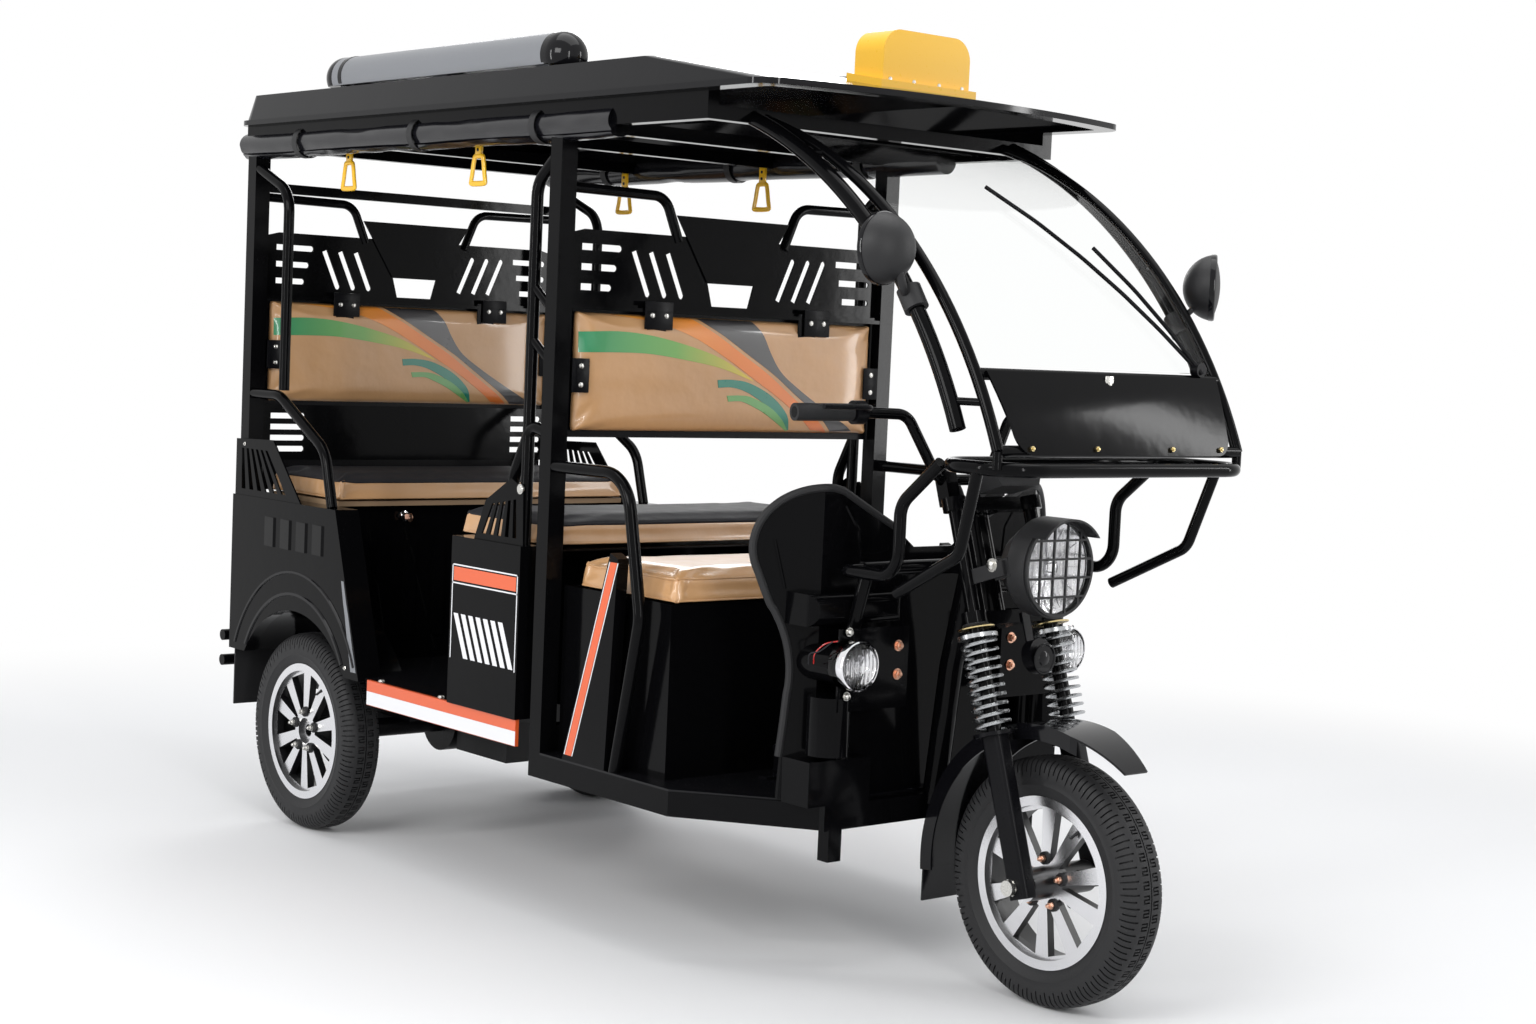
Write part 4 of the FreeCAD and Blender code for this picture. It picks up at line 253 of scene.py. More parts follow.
tan_film = finish("tan_under_film", (0.56, 0.315, 0.145), rough=0.34, coat=0.4, grain=26, bump=0.12, vary=0.07,
                  broad_bump=0.25, broad_scale=14)
charcoal_film = finish("charcoal_under_film", (0.022, 0.022, 0.025), rough=0.62, mirror=0.12, grain=26,
                       bump=0.1, broad_bump=0.25, broad_scale=12)
board = finish("plain_board", (0.32, 0.21, 0.12), rough=0.7, grain=40, bump=0.2, vary=0.25)
yellow_plastic = finish("yellow_plastic", (0.90, 0.50, 0.010), rough=0.3, coat=0.3, grain=160, bump=0.06, vary=0.04)
orange_paint = finish("orange_stripe", (0.72, 0.105, 0.022), rough=0.35, coat=0.4, grain=120, bump=0.03, vary=0.04)
white_film = finish("white_stripe", (0.80, 0.80, 0.82), rough=0.32, coat=0.3, grain=120, bump=0.03, vary=0.03)
red_lens = finish("red_lens", (0.45, 0.012, 0.01), rough=0.12, coat=1.0, grain=90, bump=0.05)
wrap_vinyl = finish("rolled_vinyl", (0.006, 0.006, 0.008), rough=0.2, mirror=0.5, grain=9, bump=0.12, spread=0.1)


def clear(name, tint, rough, index):
    """A see-through material: glass, a lens or film."""
    material, tree, shader = new_material(name)
    streaks = grow(tree, "TexNoise", {"Scale": 7})
    rough_range = grow(tree, "MapRange", {"To Min": rough, "To Max": rough + 0.02, "Value": streaks.outputs["Fac"]})
    feed(tree, shader, {"Base Color": (*tint, 1), "Transmission Weight": 1.0, "IOR": index,
                        "Roughness": rough_range.outputs["Result"]})
    return material


window_glass = clear("window_glass", (0.985, 0.995, 0.99), rough=0.0, index=1.12)
lens_glass = clear("lens_glass", (0.98, 0.98, 0.98), rough=0.02, index=1.3)

# %% [markdown]
# A rim is cast alloy, painted black and then turned on a lathe, so that only its outer faces are bright. The
# turned faces are those that look along the axle, and the edge beyond a certain radius. One material can tell
# them apart by the object's own normal and by the distance from the axle, and fine rings mark the lathe's path.

# %% Turned rim finish
LIP_STARTS, LIP_ENDS = 0.1495, 0.1510


def turned_rim(name, centre):
    """Bright on the faces that look along the axle and on the outer lip, and black everywhere else."""
    material, tree, shader = new_material(name)
    place = grow(tree, "TexCoord", {})
    facing = grow(tree, "SeparateXYZ", {"Vector": place.outputs["Normal"]})
    along = grow(tree, "Math", {0: facing.outputs["X"]}, operation="ABSOLUTE")
    flat = grow(tree, "MapRange", {"From Min": 0.8, "From Max": 0.9, "Value": along.outputs[0]})
    shift = grow(tree, "VectorMath", {0: place.outputs["Object"], 1: centre}, operation="SUBTRACT").outputs[0]
    level = grow(tree, "VectorMath", {0: shift, 1: (0, 1, 1)}, operation="MULTIPLY")
    radius = grow(tree, "VectorMath", {0: level.outputs[0]}, operation="LENGTH")
    lip = grow(tree, "MapRange", {"From Min": LIP_STARTS, "From Max": LIP_ENDS, "Value": radius.outputs["Value"]})
    bright = grow(tree, "Math", {0: flat.outputs["Result"], 1: lip.outputs["Result"]}, operation="MAXIMUM").outputs[0]
    tint = grow(tree, "Mix", {"A": (0.008, 0.008, 0.009, 1), "B": (0.78, 0.78, 0.80, 1), "Factor": bright},
                data_type="RGBA")
    smooth = grow(tree, "MapRange", {"To Min": 0.34, "To Max": 0.24, "Value": bright})
    rings = grow(tree, "TexWave", {"Scale": 260, "Distortion": 0.6, "Vector": shift}, wave_type="RINGS",
                 rings_direction="X")
    relief = grow(tree, "Bump", {"Strength": 0.05, "Distance": 0.0006, "Height": rings.outputs["Fac"]})
    feed(tree, shader, {"Base Color": tint.outputs["Result"], "Metallic": bright,
                        "Roughness": smooth.outputs["Result"], "Normal": relief.outputs["Normal"]})
    return material


AXLES = {"front": (0, -1.102, 0.24), "rear_right": (-0.424, 0.958, 0.24), "rear_left": (0.424, 0.958, 0.24)}
rim_finish = {wheel: turned_rim("turned_rim_" + wheel, centre) for wheel, centre in AXLES.items()}

# %% [markdown]
# Every solid of the model keeps its shape where the shape is right. It only gets its finish here, by the name of
# the material slot that the engineering record gives it.

# %% Finish of each model part
SLOT_FINISH = {
    "tyre": tyre_rubber, "polished_alloy": bright_steel, "satin_black": satin_paint, "black_paint": gloss_paint,
    "floor_black": floor_paint, "chrome": chrome, "spring_steel": spring_steel, "zinc_steel": bright_steel,
    "cast_black": cast_paint, "black_rubber": rubber, "matte_black_plastic": matte_plastic,
    "gloss_black_plastic": gloss_plastic, "clear_lens": lens_glass, "clear_glass": window_glass,
    "red_lens": red_lens, "tan_leather": tan_film, "charcoal_leather": charcoal_film, "plywood": board,
    "orange_paint": orange_paint, "brushed_alloy": brushed_alloy, "yellow_plastic": yellow_plastic,
    "black_vinyl": wrap_vinyl,
}
SPECIAL_FINISH = {
    "front_rim": rim_finish["front"], "rear_rim_right": rim_finish["rear_right"],
    "rear_rim_left": rim_finish["rear_left"], "fork_stanchions": gloss_paint,
    "front_panel": gloss_paint,
}
slot_of = {part["node"]: part["material_slot"] for part in frame["record"]["subparts"]}
for name, node in frame["nodes"].items():
    for index in range(len(node.material_slots)):
        node.material_slots[index].material = SPECIAL_FINISH.get(name, SLOT_FINISH[slot_of[name]])
print("dressed", len(frame["nodes"]), "model parts")

# %% [markdown]
# Most of the added pieces are small and hard-edged: turned parts, plates, bars along a path. They are built as
# meshes by a few helpers, so each of them can be placed exactly on the solid that carries it. Every piece gets its
# finish and the body it moves with, in one call.

# %% Helpers for new pieces
BODY, STEERING, SEAT = "body", "steering", "rear_seat"


def show(name, shape, material, body, crease=35):
    """Turns a bmesh into a piece with a finish, smooth up to an edge angle, that rides on a body."""
    bmesh.ops.recalc_face_normals(shape, faces=shape.faces)
    data = bpy.data.meshes.new(name)
    shape.to_mesh(data)
    shape.free()
    data.materials.append(material)
    for face in data.polygons:
        face.use_smooth = True
    data.set_sharp_from_angle(angle=math.radians(crease))
    made = bpy.data.objects.new(name, data)
    bpy.context.scene.collection.objects.link(made)
    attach(made, body)
    return made


def corners_of(node):
    """The low and the high corner of a model part's box."""
    return [Vector(corner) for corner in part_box(node)]


def around(axis):
    """An axis as a unit vector, with two directions square to it."""
    along = Vector(axis).normalized()
    helper = Vector((0, 0, 1)) if abs(along.z) < 0.9 else Vector((1, 0, 0))
    side = helper.cross(along).normalized()
    return along, side, along.cross(side)


def stitch(shape, first, second):
    """Faces between two rings of vertices, or between a ring and a single vertex."""
    if len(first) == 1 and len(second) == 1:
        return
    if len(first) < len(second):
        first, second = second, first
    for index in range(len(first)):
        after = (index + 1) % len(first)
        if len(second) == 1:
            shape.faces.new((first[index], first[after], second[0]))
        else:
            shape.faces.new((first[index], first[after], second[after], second[index]))


def turned(shape, centre, axis, profile, sides=24):
    """Adds a turned form: pairs of (way along the axis, radius), spun about an axis through a centre."""
    along, side, other = around(axis)
    rings = []
    for way, radius in profile:
        middle = Vector(centre) + along * way
        count = 1 if radius < 1e-6 else sides
        rings.append([
            shape.verts.new(middle + (side * math.cos(math.tau * k / sides)
                                      + other * math.sin(math.tau * k / sides)) * radius)
            for k in range(count)
        ])
    for first, second in zip(rings, rings[1:]):
        stitch(shape, first, second)


def block(shape, low, high, edge=0.0):
    """Adds a box between two corners, with its edges softened."""
    made = bmesh.ops.create_cube(shape, size=1)["verts"]
    for corner in made:
        corner.co = Vector([
            (low[axis] + high[axis]) / 2 + corner.co[axis] * (high[axis] - low[axis]) for axis in range(3)
        ])
    if edge:
        edges = list({line for corner in made for line in corner.link_edges})
        bmesh.ops.bevel(shape, geom=edges, offset=edge, segments=2, affect="EDGES", profile=0.5)


def plate(shape, outline, face, thick):
    """Adds a plate: an outline of points in space, thickened along a face direction."""
    lift = Vector(face).normalized() * thick
    bottom = [shape.verts.new(Vector(point)) for point in outline]
    top = [shape.verts.new(Vector(point) + lift) for point in outline]
    shape.faces.new(bottom)
    shape.faces.new(top[::-1])
    stitch(shape, bottom, top)


def swept(shape, path, section, upward=(0, 0, 1), closed=False):
    """Adds a bar: a section of (sideways, upward) pairs carried along a path of points."""
    points = [Vector(point) for point in path]
    rings = []
    count = len(points)
    for index, point in enumerate(points):
        before = points[index - 1] if closed or index else point
        after = points[(index + 1) % count] if closed or index < count - 1 else point
        along = (after - before).normalized()
        side = along.cross(Vector(upward)).normalized()
        top = side.cross(along)
        rings.append([shape.verts.new(point + side * a + top * b) for a, b in section])
    for first, second in zip(rings, rings[1:] + (rings[:1] if closed else [])):
        stitch(shape, first, second)
    if not closed:
        shape.faces.new(rings[0])
        shape.faces.new(rings[-1][::-1])


def thin_sheet(shape, layers):
    """Faces over two grids of vertices, one above the other, and round the edge that they share."""
    rims = []
    for rows in layers:
        for above, below in zip(rows, rows[1:]):
            for a, b, c, d in zip(above, above[1:], below[1:], below):
                shape.faces.new((a, b, c, d))
        rims.append(rows[0] + [row[-1] for row in rows[1:]] + rows[-1][-2::-1] + [row[0] for row in rows[-2:0:-1]])
    stitch(shape, *rims)


def ridge_section(foot, crest, tall, sunk=0.0):
    """A flat-topped ridge's section: half its width at the foot and at the crest, and its height."""
    return [(foot, -sunk), (crest, tall), (-crest, tall), (-foot, -sunk)]


def strap_section(thick, wide, inside=None):
    """A flat strap's section: its thickness each way and half its width."""
    inside = thick if inside is None else inside
    return [(thick, -wide), (thick, wide), (-inside, wide), (-inside, -wide)]


def round_section(radius, sides=10):
    """The corners of a round section."""
    return [(radius * math.cos(math.tau * k / sides), radius * math.sin(math.tau * k / sides))
            for k in range(sides)]


def smooth_path(points, steps=8, closed=False):
    """Points along a smooth line through all the given points, in a loop if it is closed."""
    spots = [Vector(point) for point in points]
    if closed:
        spots = [spots[-1]] + spots + spots[:2]
    else:
        spots = [spots[0] * 2 - spots[1]] + spots + [spots[-1] * 2 - spots[-2]]
    line = []
    for p0, p1, p2, p3 in zip(spots, spots[1:], spots[2:], spots[3:]):
        for step in range(steps):
            t = step / steps
            line.append(((p1 * 2) + (p2 - p0) * t + (p0 * 2 - p1 * 5 + p2 * 4 - p3) * t * t
                         + (p1 * 3 - p0 - p2 * 3 + p3) * t ** 3) / 2)
    return line if closed else line + [spots[-2]]


def bolt(shape, place, axis, across=0.013, washer=True):
    """Adds a hexagon bolt head with its washer and domed top."""
    half = across / 2
    if washer:
        turned(shape, place, axis, [(0, 0), (0, half * 1.5), (0.0012, half * 1.5), (0.0012, 0)], 20)
    turned(shape, place, axis, [(0.001, half * 1.1), (half * 0.9, half * 1.1), (half * 1.05, half * 0.95),
                                (half * 1.05, 0)], 6)
    turned(shape, Vector(place), axis, [(half, half * 0.55), (half * 1.5, half * 0.55), (half * 1.6, 0)], 12)


print("helpers ready")

# %% [markdown]
# A tyre of this kind has a road tread: two rows of hooked grooves beside a narrow middle groove, and short slots
# that run out over the shoulders. Grooves drawn only as bumps would leave the tyre's outline smooth, so they are
# real. The tread is a grid of cells wrapped round the tyre's crown. A small pattern, repeated round the tyre, says
# which cells stand up and which are grooves.

# %% Tyres with tread
GROOVE_DEPTH = 0.0048
HOOK = ["1111111", "1000001", "1011111", "1000001", "1111101", "1000001", "1111111", "1111111"]
SHOULDER = ["10000000", "11111111", "11111111", "11111111", "11000001", "11111111", "11111111", "11111111"]
REPEATS = 58
CROWN = [(0, 0.2398), (0.012, 0.2396), (0.024, 0.2385), (0.033, 0.2355), (0.040, 0.2306), (0.0445, 0.2240),
         (0.0467, 0.2150), (0.0476, 0.2060)]
WALL = [(0.0478, 0.1980), (0.0470, 0.1905), (0.0476, 0.1890), (0.0476, 0.1865), (0.0466, 0.1850), (0.0440, 0.1770),
        (0.0415, 0.1715), (0.0385, 0.1660), (0.0330, 0.1600), (0.0, 0.1580)]


def tread_profile():
    """Rows across the tyre: place across, top radius and the direction a groove goes in."""
    marks = [0.0]
    for (x0, r0), (x1, r1) in zip(CROWN, CROWN[1:]):
        marks.append(marks[-1] + math.hypot(x1 - x0, r1 - r0))
    rows = [0, 0.0015] + [0.0015 + 0.0032 * k for k in range(1, 8)]
    rows += [rows[-1] + (marks[-1] - rows[-1]) * k / 8 for k in range(1, 9)]
    profile = []
    for row in rows:
        for (x0, r0), (x1, r1), low, high in zip(CROWN, CROWN[1:], marks, marks[1:]):
            if row <= high + 1e-9:
                t = (row - low) / (high - low)
                out = Vector((x1 - x0, r1 - r0)).normalized()
                profile.append((x0 + (x1 - x0) * t, r0 + (r1 - r0) * t, (out.y, -out.x)))
                break
    return profile


def tyre_mesh():
    """The whole tyre about the X axis, with every groove cell sunk below its neighbours."""
    half = tread_profile()
    full = [(-x, r, (-ax, ar)) for x, r, (ax, ar) in reversed(half[1:])] + half
    cells = []
    for row in range(8):
        one, other = ("0" + HOOK[place] + SHOULDER[place] for place in (row, (row + 4) % 8))
        cells.append(one[::-1] + other)
    columns, around_count = len(full) - 1, REPEATS * 8
    verts, faces, known = [], [], {}

    def corner(ring, column, sunk):
        key = (ring % around_count, column, sunk)
        if key not in known:
            x, r, (ax, ar) = full[column]
            depth = GROOVE_DEPTH if sunk else 0
            if column in (0, columns):
                depth *= 0.3
            angle = math.tau * key[0] / around_count
            x, r = x + ax * depth, r + ar * depth
            known[key] = len(verts)
            verts.append((x, r * math.cos(angle), r * math.sin(angle)))
        return known[key]

    def sunk(ring, column):
        return cells[ring % 8][column] == "0"

    def side_wall(side, column):
        """The smooth wall on one side, four cells to a face, down to the bead."""
        step, count, rings = 4, around_count // 4, []
        for x, r in WALL:
            rings.append([len(verts) + k for k in range(count)])
            for k in range(count):
                angle = math.tau * k * step / around_count
                verts.append((side * x, r * math.cos(angle), r * math.sin(angle)))
        for k in range(count):
            after = (k + 1) % count
            edge = [corner(k * step + way, column, sunk(k * step + min(way, step - 1), column - (side > 0)))
                    for way in range(step + 1)]
            faces.append(edge + [rings[0][after], rings[0][k]])
            for first, second in zip(rings, rings[1:]):
                faces.append([first[k], first[after], second[after], second[k]])

    for ring in range(around_count):
        for column in range(columns):
            low = sunk(ring, column)
            faces.append([corner(ring, column, low), corner(ring, column + 1, low),
                          corner(ring + 1, column + 1, low), corner(ring + 1, column, low)])
            if sunk(ring + 1, column) != low:
                faces.append([corner(ring + 1, column, low), corner(ring + 1, column + 1, low),
                              corner(ring + 1, column + 1, not low), corner(ring + 1, column, not low)])
            if column + 1 < columns and sunk(ring, column + 1) != low:
                faces.append([corner(ring, column + 1, low), corner(ring, column + 1, not low),
                              corner(ring + 1, column + 1, not low), corner(ring + 1, column + 1, low)])
    side_wall(-1, 0)
    side_wall(1, columns)
    data = bpy.data.meshes.new("road_tyre")
    data.from_pydata(verts, [], faces)
    data.validate()
    shape = bmesh.new()
    shape.from_mesh(data)
    bmesh.ops.remove_doubles(shape, verts=shape.verts, dist=0.00001)
    bmesh.ops.recalc_face_normals(shape, faces=shape.faces)
    shape.to_mesh(data)
    shape.free()
    for face in data.polygons:
        face.use_smooth = True
    data.set_sharp_from_angle(angle=math.radians(32))
    data.materials.append(tyre_rubber)
    return data


road_tyre = tyre_mesh()
WHEELS = {"front": ("front_tyre", "front_wheel"), "rear_right": ("rear_tyre_right", "rear_wheel_right"),
          "rear_left": ("rear_tyre_left", "rear_wheel_left")}
for wheel, (node, body) in WHEELS.items():
    tyre = bpy.data.objects.new("tread_" + wheel, road_tyre)
    bpy.context.scene.collection.objects.link(tyre)
    tyre.location = AXLES[wheel]
    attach(tyre, body)
    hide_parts(node)
print("a tyre has", len(road_tyre.polygons), "faces")

# %% [markdown]
# Small things make a wheel believable: the ring of nuts round the hub, each in its dark socket, and the valve stem
# at the rim. They are turned parts, placed by their radius and angle.

# %% Hub nuts and valves
STUDS, STUD_CIRCLE, HUB_FACE = 5, 0.047, 0.030
VALVE_CIRCLE, VALVE_TURN = 0.146, 2.2
for wheel, (node, body) in WHEELS.items():
    x, y, z = AXLES[wheel]
    outward = {"front": (-1, 1), "rear_right": (-1,), "rear_left": (1,)}[wheel]
    nuts, sockets = bmesh.new(), bmesh.new()
    for side in outward:
        for k in range(STUDS):
            angle = math.tau * (k + 0.25) / STUDS
            spot = Vector((x + side * HUB_FACE, y + STUD_CIRCLE * math.cos(angle),
                           z + STUD_CIRCLE * math.sin(angle)))
            turned(sockets, spot, (side, 0, 0),
                   [(-0.012, 0), (-0.012, 0.0125), (0.004, 0.0125), (0.006, 0.0105), (0.006, 0)], 20)
            turned(nuts, spot, (side, 0, 0),
                   [(0.005, 0), (0.005, 0.0075), (0.012, 0.0075), (0.014, 0.006), (0.014, 0)], 6)
            turned(nuts, spot, (side, 0, 0), [(0.013, 0.0040), (0.019, 0.0040), (0.0205, 0.0025), (0.0205, 0)], 12)
    valve_side = outward[0]
    valve_way = Vector((0, math.cos(VALVE_TURN), math.sin(VALVE_TURN)))
    foot = Vector((x + valve_side * 0.026, y, z)) + valve_way * VALVE_CIRCLE
    inward = valve_way * -0.8 + Vector((valve_side * 0.6, 0, 0))
    turned(sockets, foot, inward,
           [(0, 0), (0, 0.004), (0.016, 0.0036), (0.018, 0.0028), (0.028, 0.0028), (0.03, 0)], 12)
    show("hub_studs_" + wheel, nuts, copper if wheel == "front" else bright_steel, body)
    show("hub_sockets_" + wheel, sockets, rubber, body)
print("wheel details on", len(WHEELS), "wheels")

# %% [markdown]
# The seats are foam slabs in sewn covers: a boxing strip all round, a top panel, and a thin welt along each seam.
# The foam pushes the cover out, so every pad starts a little small and is blown up by a short cloth simulation
# against its own board, which stays flat. The covers are new and still under plastic film, so their finish has a
# clear coat and fine creases.

# %% Stuffed pads
VOXEL, BOARD_GRIP, SWELL_STEPS = 0.0085, 0.009, 20


def swollen(pad, pressure, cap, held):
    """Blows a pad up a little; the points for which held() is true stay on their board."""
    rest = [point.co.copy() for point in pad.data.vertices]
    group = pad.vertex_groups.new(name="on_board")
    group.add([index for index, point in enumerate(rest) if held(point)], 1.0, "REPLACE")
    cloth = pad.modifiers.new("stuffing", "CLOTH")
    cloth.settings.use_pressure = True
    cloth.settings.uniform_pressure_force = pressure
    cloth.settings.vertex_group_mass = "on_board"
    cloth.settings.quality = 5
    cloth.settings.effector_weights.gravity = 0
    cloth.point_cache.frame_start, cloth.point_cache.frame_end = 1, SWELL_STEPS
    for step in range(1, SWELL_STEPS + 1):
        bpy.context.scene.frame_set(step)
    seen = pad.evaluated_get(bpy.context.evaluated_depsgraph_get())
    blown = [point.co.copy() for point in seen.data.vertices]
    pad.modifiers.remove(cloth)
    pad.vertex_groups.clear()
    bpy.context.scene.frame_set(1)
    furthest = 0
    for point, start, end in zip(pad.data.vertices, rest, blown):
        move = end - start
        if move.length > 1e-7:
            point.co = start + move.normalized() * cap * math.tanh(move.length / cap)
            furthest = max(furthest, (point.co - start).length)
    print(pad.name, "swelled by up to", round(furthest * 1000, 1), "mm")


def stuffed(node, body, skins, held, inset, pressure=4, cap=0.010):
    """A stuffed pad in the place of a plain solid, with one skin, or two that are chosen face by face."""
    low, high = corners_of(node)
    middle, size = (low + high) / 2, high - low
    data = bpy.data.objects[node].data.copy()
    data.name = node + "_cover"
    for point in data.vertices:
        for axis in range(3):
            point.co[axis] = middle[axis] + (point.co[axis] - middle[axis]) * (1 - 2 * inset / size[axis])
    pad = bpy.data.objects.new(node + "_cover", data)
    bpy.context.scene.collection.objects.link(pad)
    mesher = pad.modifiers.new("mesher", "REMESH")
    mesher.mode = "VOXEL"
    mesher.voxel_size = VOXEL
    seen = pad.evaluated_get(bpy.context.evaluated_depsgraph_get())
    pad.modifiers.clear()
    pad.data = bpy.data.meshes.new_from_object(seen)
    swollen(pad, pressure, cap, lambda point: held(point, low, high))
    pad.data.materials.clear()
    for skin in skins:
        pad.data.materials.append(skin)
    for face in pad.data.polygons:
        face.use_smooth = True
        face.material_index = top_or_side(face, low, high) if len(skins) > 1 else 0
    soft = pad.modifiers.new("soft", "SUBSURF")
    soft.levels = soft.render_levels = 1
    seen = pad.evaluated_get(bpy.context.evaluated_depsgraph_get())
    fine = bpy.data.meshes.new_from_object(seen)
    pad.modifiers.clear()
    pad.data = fine
    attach(pad, body)
    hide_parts(node)
    return pad


def surface_of(piece):
    """A piece's surface, ready for rays."""
    points = [point.co.copy() for point in piece.data.vertices]
    return BVHTree.FromPolygons(points, [list(face.vertices) for face in piece.data.polygons])


def side_hit(surface, side, y, z):
    """Where a level ray from outside the vehicle first meets a surface."""
    return surface.ray_cast(Vector((side * 0.7, y, z)), Vector((-side, 0, 0)))[0]


def front_hit(surface, x, y, z):
    """Where a level ray that starts at a place and runs to the back first meets a surface."""
    return surface.ray_cast(Vector((x, y, z)), Vector((0, 1, 0)))[0]


def welt(pad, node, level, name, material, body, radius=0.0028):
    """A welt round a seat cushion at one height, laid on the swollen cover."""
    low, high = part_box(node)
    centre = Vector(((low[0] + high[0]) / 2, (low[1] + high[1]) / 2, 0))
    rim = {(round(p.co.x, 4), round(p.co.y, 4)) for p in bpy.data.objects[node].data.vertices}
    corners = sorted(rim, key=lambda spot: math.atan2(spot[1] - centre.y, spot[0] - centre.x))
    surface, path = surface_of(pad), []
    for start, end in zip(corners, corners[1:] + corners[:1]):
        gap = math.dist(start, end)
        steps = max(1, round(gap / 0.02))
        for step in range(steps):
            spot = Vector((start[0] + (end[0] - start[0]) * step / steps,
                           start[1] + (end[1] - start[1]) * step / steps, level))
            found = surface.find_nearest(spot)[0]
            if not path or (found - path[-1]).length > 0.004:
                path.append(found)
    if (path[0] - path[-1]).length < 0.004:
        path.pop()
    shape = bmesh.new()
    swept(shape, path, round_section(radius, 8), closed=True)
    return show(name, shape, material, body)


def on_board(point, low, high):
    """Whether a point of a cushion lies on the board below it."""
    return point.z < low.z + BOARD_GRIP


def against_back(point, low, high):
    """Whether a point of a backrest lies on the board behind it."""
    return point.y > high.y - BOARD_GRIP


def top_or_side(face, low, high):
    """The first skin for the top panel and the second for the sides."""
    return 0 if face.normal.z > 0.55 and face.center.z > low.z + 0.6 * (high.z - low.z) else 1


SEATS = {"driver_cushion": (BODY, "tan_leather", [tan_film]),
         "middle_cushion": (BODY, "charcoal_leather", [charcoal_film, tan_film]),
         "rear_cushion": (SEAT, "charcoal_leather", [charcoal_film, tan_film])}
pads = {}
for node, (body, slot, skins) in SEATS.items():
    pads[node] = stuffed(node, body, skins, on_board, 0.004)
    low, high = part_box(node)
    welt(pads[node], node, high[2] - 0.003, "welt_top_" + node, skins[0], body)
    welt(pads[node], node, low[2] + 0.004, "welt_bottom_" + node, tan_film, body, 0.0022)
for node in ("middle_backrest", "rear_backrest"):
    pads[node] = stuffed(node, BODY, [tan_film], against_back, 0.003, pressure=3, cap=0.007)
print(len(pads), "pads,", sum(len(pad.data.polygons) for pad in pads.values()), "faces")

# %% [markdown]
# The backrest covers are printed with sweeping bands: a green one that fades to yellow, an orange one with a dark
# grey one beside it, and two green leaf strokes. Each band is a very thin sheet between two smooth curves. The
# curves are drawn flat, in parts of the cover's width and height, and every point is then pressed onto the swollen
# cover, so the print follows it.

# %% Printed bands on the backrests
PRINT_SINKS = 0.0006


def fading(name, colours, start, end):
    """A print that fades from colour to colour along the width of the vehicle."""
    made = finish(name, colours[0], rough=0.32, coat=0.6, grain=26, bump=0.12, spread=0.05)
    tree = made.node_tree
    place = grow(tree, "TexCoord", {})
    apart = grow(tree, "SeparateXYZ", {"Vector": place.outputs["Object"]})
    way = grow(tree, "MapRange", {"From Min": start, "From Max": end, "Value": apart.outputs["X"]})
    ramp = grow(tree, "ValToRGB", {"Fac": way.outputs["Result"]})
    for index, colour in enumerate(colours):
        stop = index / (len(colours) - 1)
        mark = ramp.color_ramp.elements[min(index, 1)] if index < 2 else ramp.color_ramp.elements.new(stop)
        mark.position = stop
        mark.color = (*colour, 1)
    feed(tree, tree.nodes["Principled BSDF"], {"Base Color": ramp.outputs["Color"]})
    return made


green_fade = fading("green_to_yellow_print", [(0.020, 0.26, 0.105), (0.16, 0.40, 0.08), (0.75, 0.50, 0.04)],
                    -0.40, 0.08)
orange_print = fading("orange_print", [(0.86, 0.36, 0.06), (0.80, 0.22, 0.03), (0.74, 0.18, 0.03)], -0.3, 0.32)
grey_print = finish("dark_grey_print", (0.045, 0.043, 0.045), rough=0.3, coat=0.6, grain=26, bump=0.12)
teal_print = finish("teal_print", (0.006, 0.20, 0.135), rough=0.3, coat=0.6, grain=26, bump=0.1)
leaf_print = finish("leaf_green_print", (0.13, 0.36, 0.10), rough=0.3, coat=0.6, grain=26, bump=0.1)
BANDS = {
    "green": (green_fade, 0.0010, [(0.012, 0.18), (0.13, 0.165), (0.235, 0.19), (0.36, 0.265), (0.465, 0.36),
                                   (0.56, 0.51)],
              [(0.012, 0.345), (0.13, 0.335), (0.235, 0.34), (0.36, 0.385), (0.465, 0.44), (0.575, 0.54)]),
    "orange": (orange_print, 0.0013, [(0.11, 0.03), (0.25, 0.08), (0.37, 0.19), (0.48, 0.355), (0.58, 0.53),
                                      (0.68, 0.71), (0.80, 0.97)],
               [(0.365, 0.03), (0.44, 0.15), (0.53, 0.31), (0.62, 0.47), (0.70, 0.64), (0.78, 0.81),
                (0.852, 0.97)]),
    "grey": (grey_print, 0.0011, [(0.385, 0.03), (0.46, 0.15), (0.55, 0.31), (0.64, 0.47), (0.72, 0.64),
                                  (0.80, 0.81), (0.868, 0.97)],
             [(0.57, 0.03), (0.60, 0.13), (0.63, 0.30), (0.67, 0.46), (0.74, 0.61), (0.84, 0.79), (0.95, 0.97)]),
    "teal": (teal_print, 0.0012, [(0.452, 0.535), (0.50, 0.53), (0.56, 0.555), (0.635, 0.655), (0.69, 0.80),
                                  (0.712, 0.95)],
             [(0.455, 0.60), (0.50, 0.595), (0.55, 0.63), (0.61, 0.72), (0.665, 0.83), (0.708, 0.955)]),
    "leaf": (leaf_print, 0.0014, [(0.485, 0.665), (0.53, 0.66), (0.57, 0.675), (0.63, 0.75), (0.675, 0.85),
                                  (0.708, 0.955)],
             [(0.49, 0.715), (0.53, 0.71), (0.56, 0.735), (0.61, 0.80), (0.66, 0.885), (0.704, 0.96)]),
}


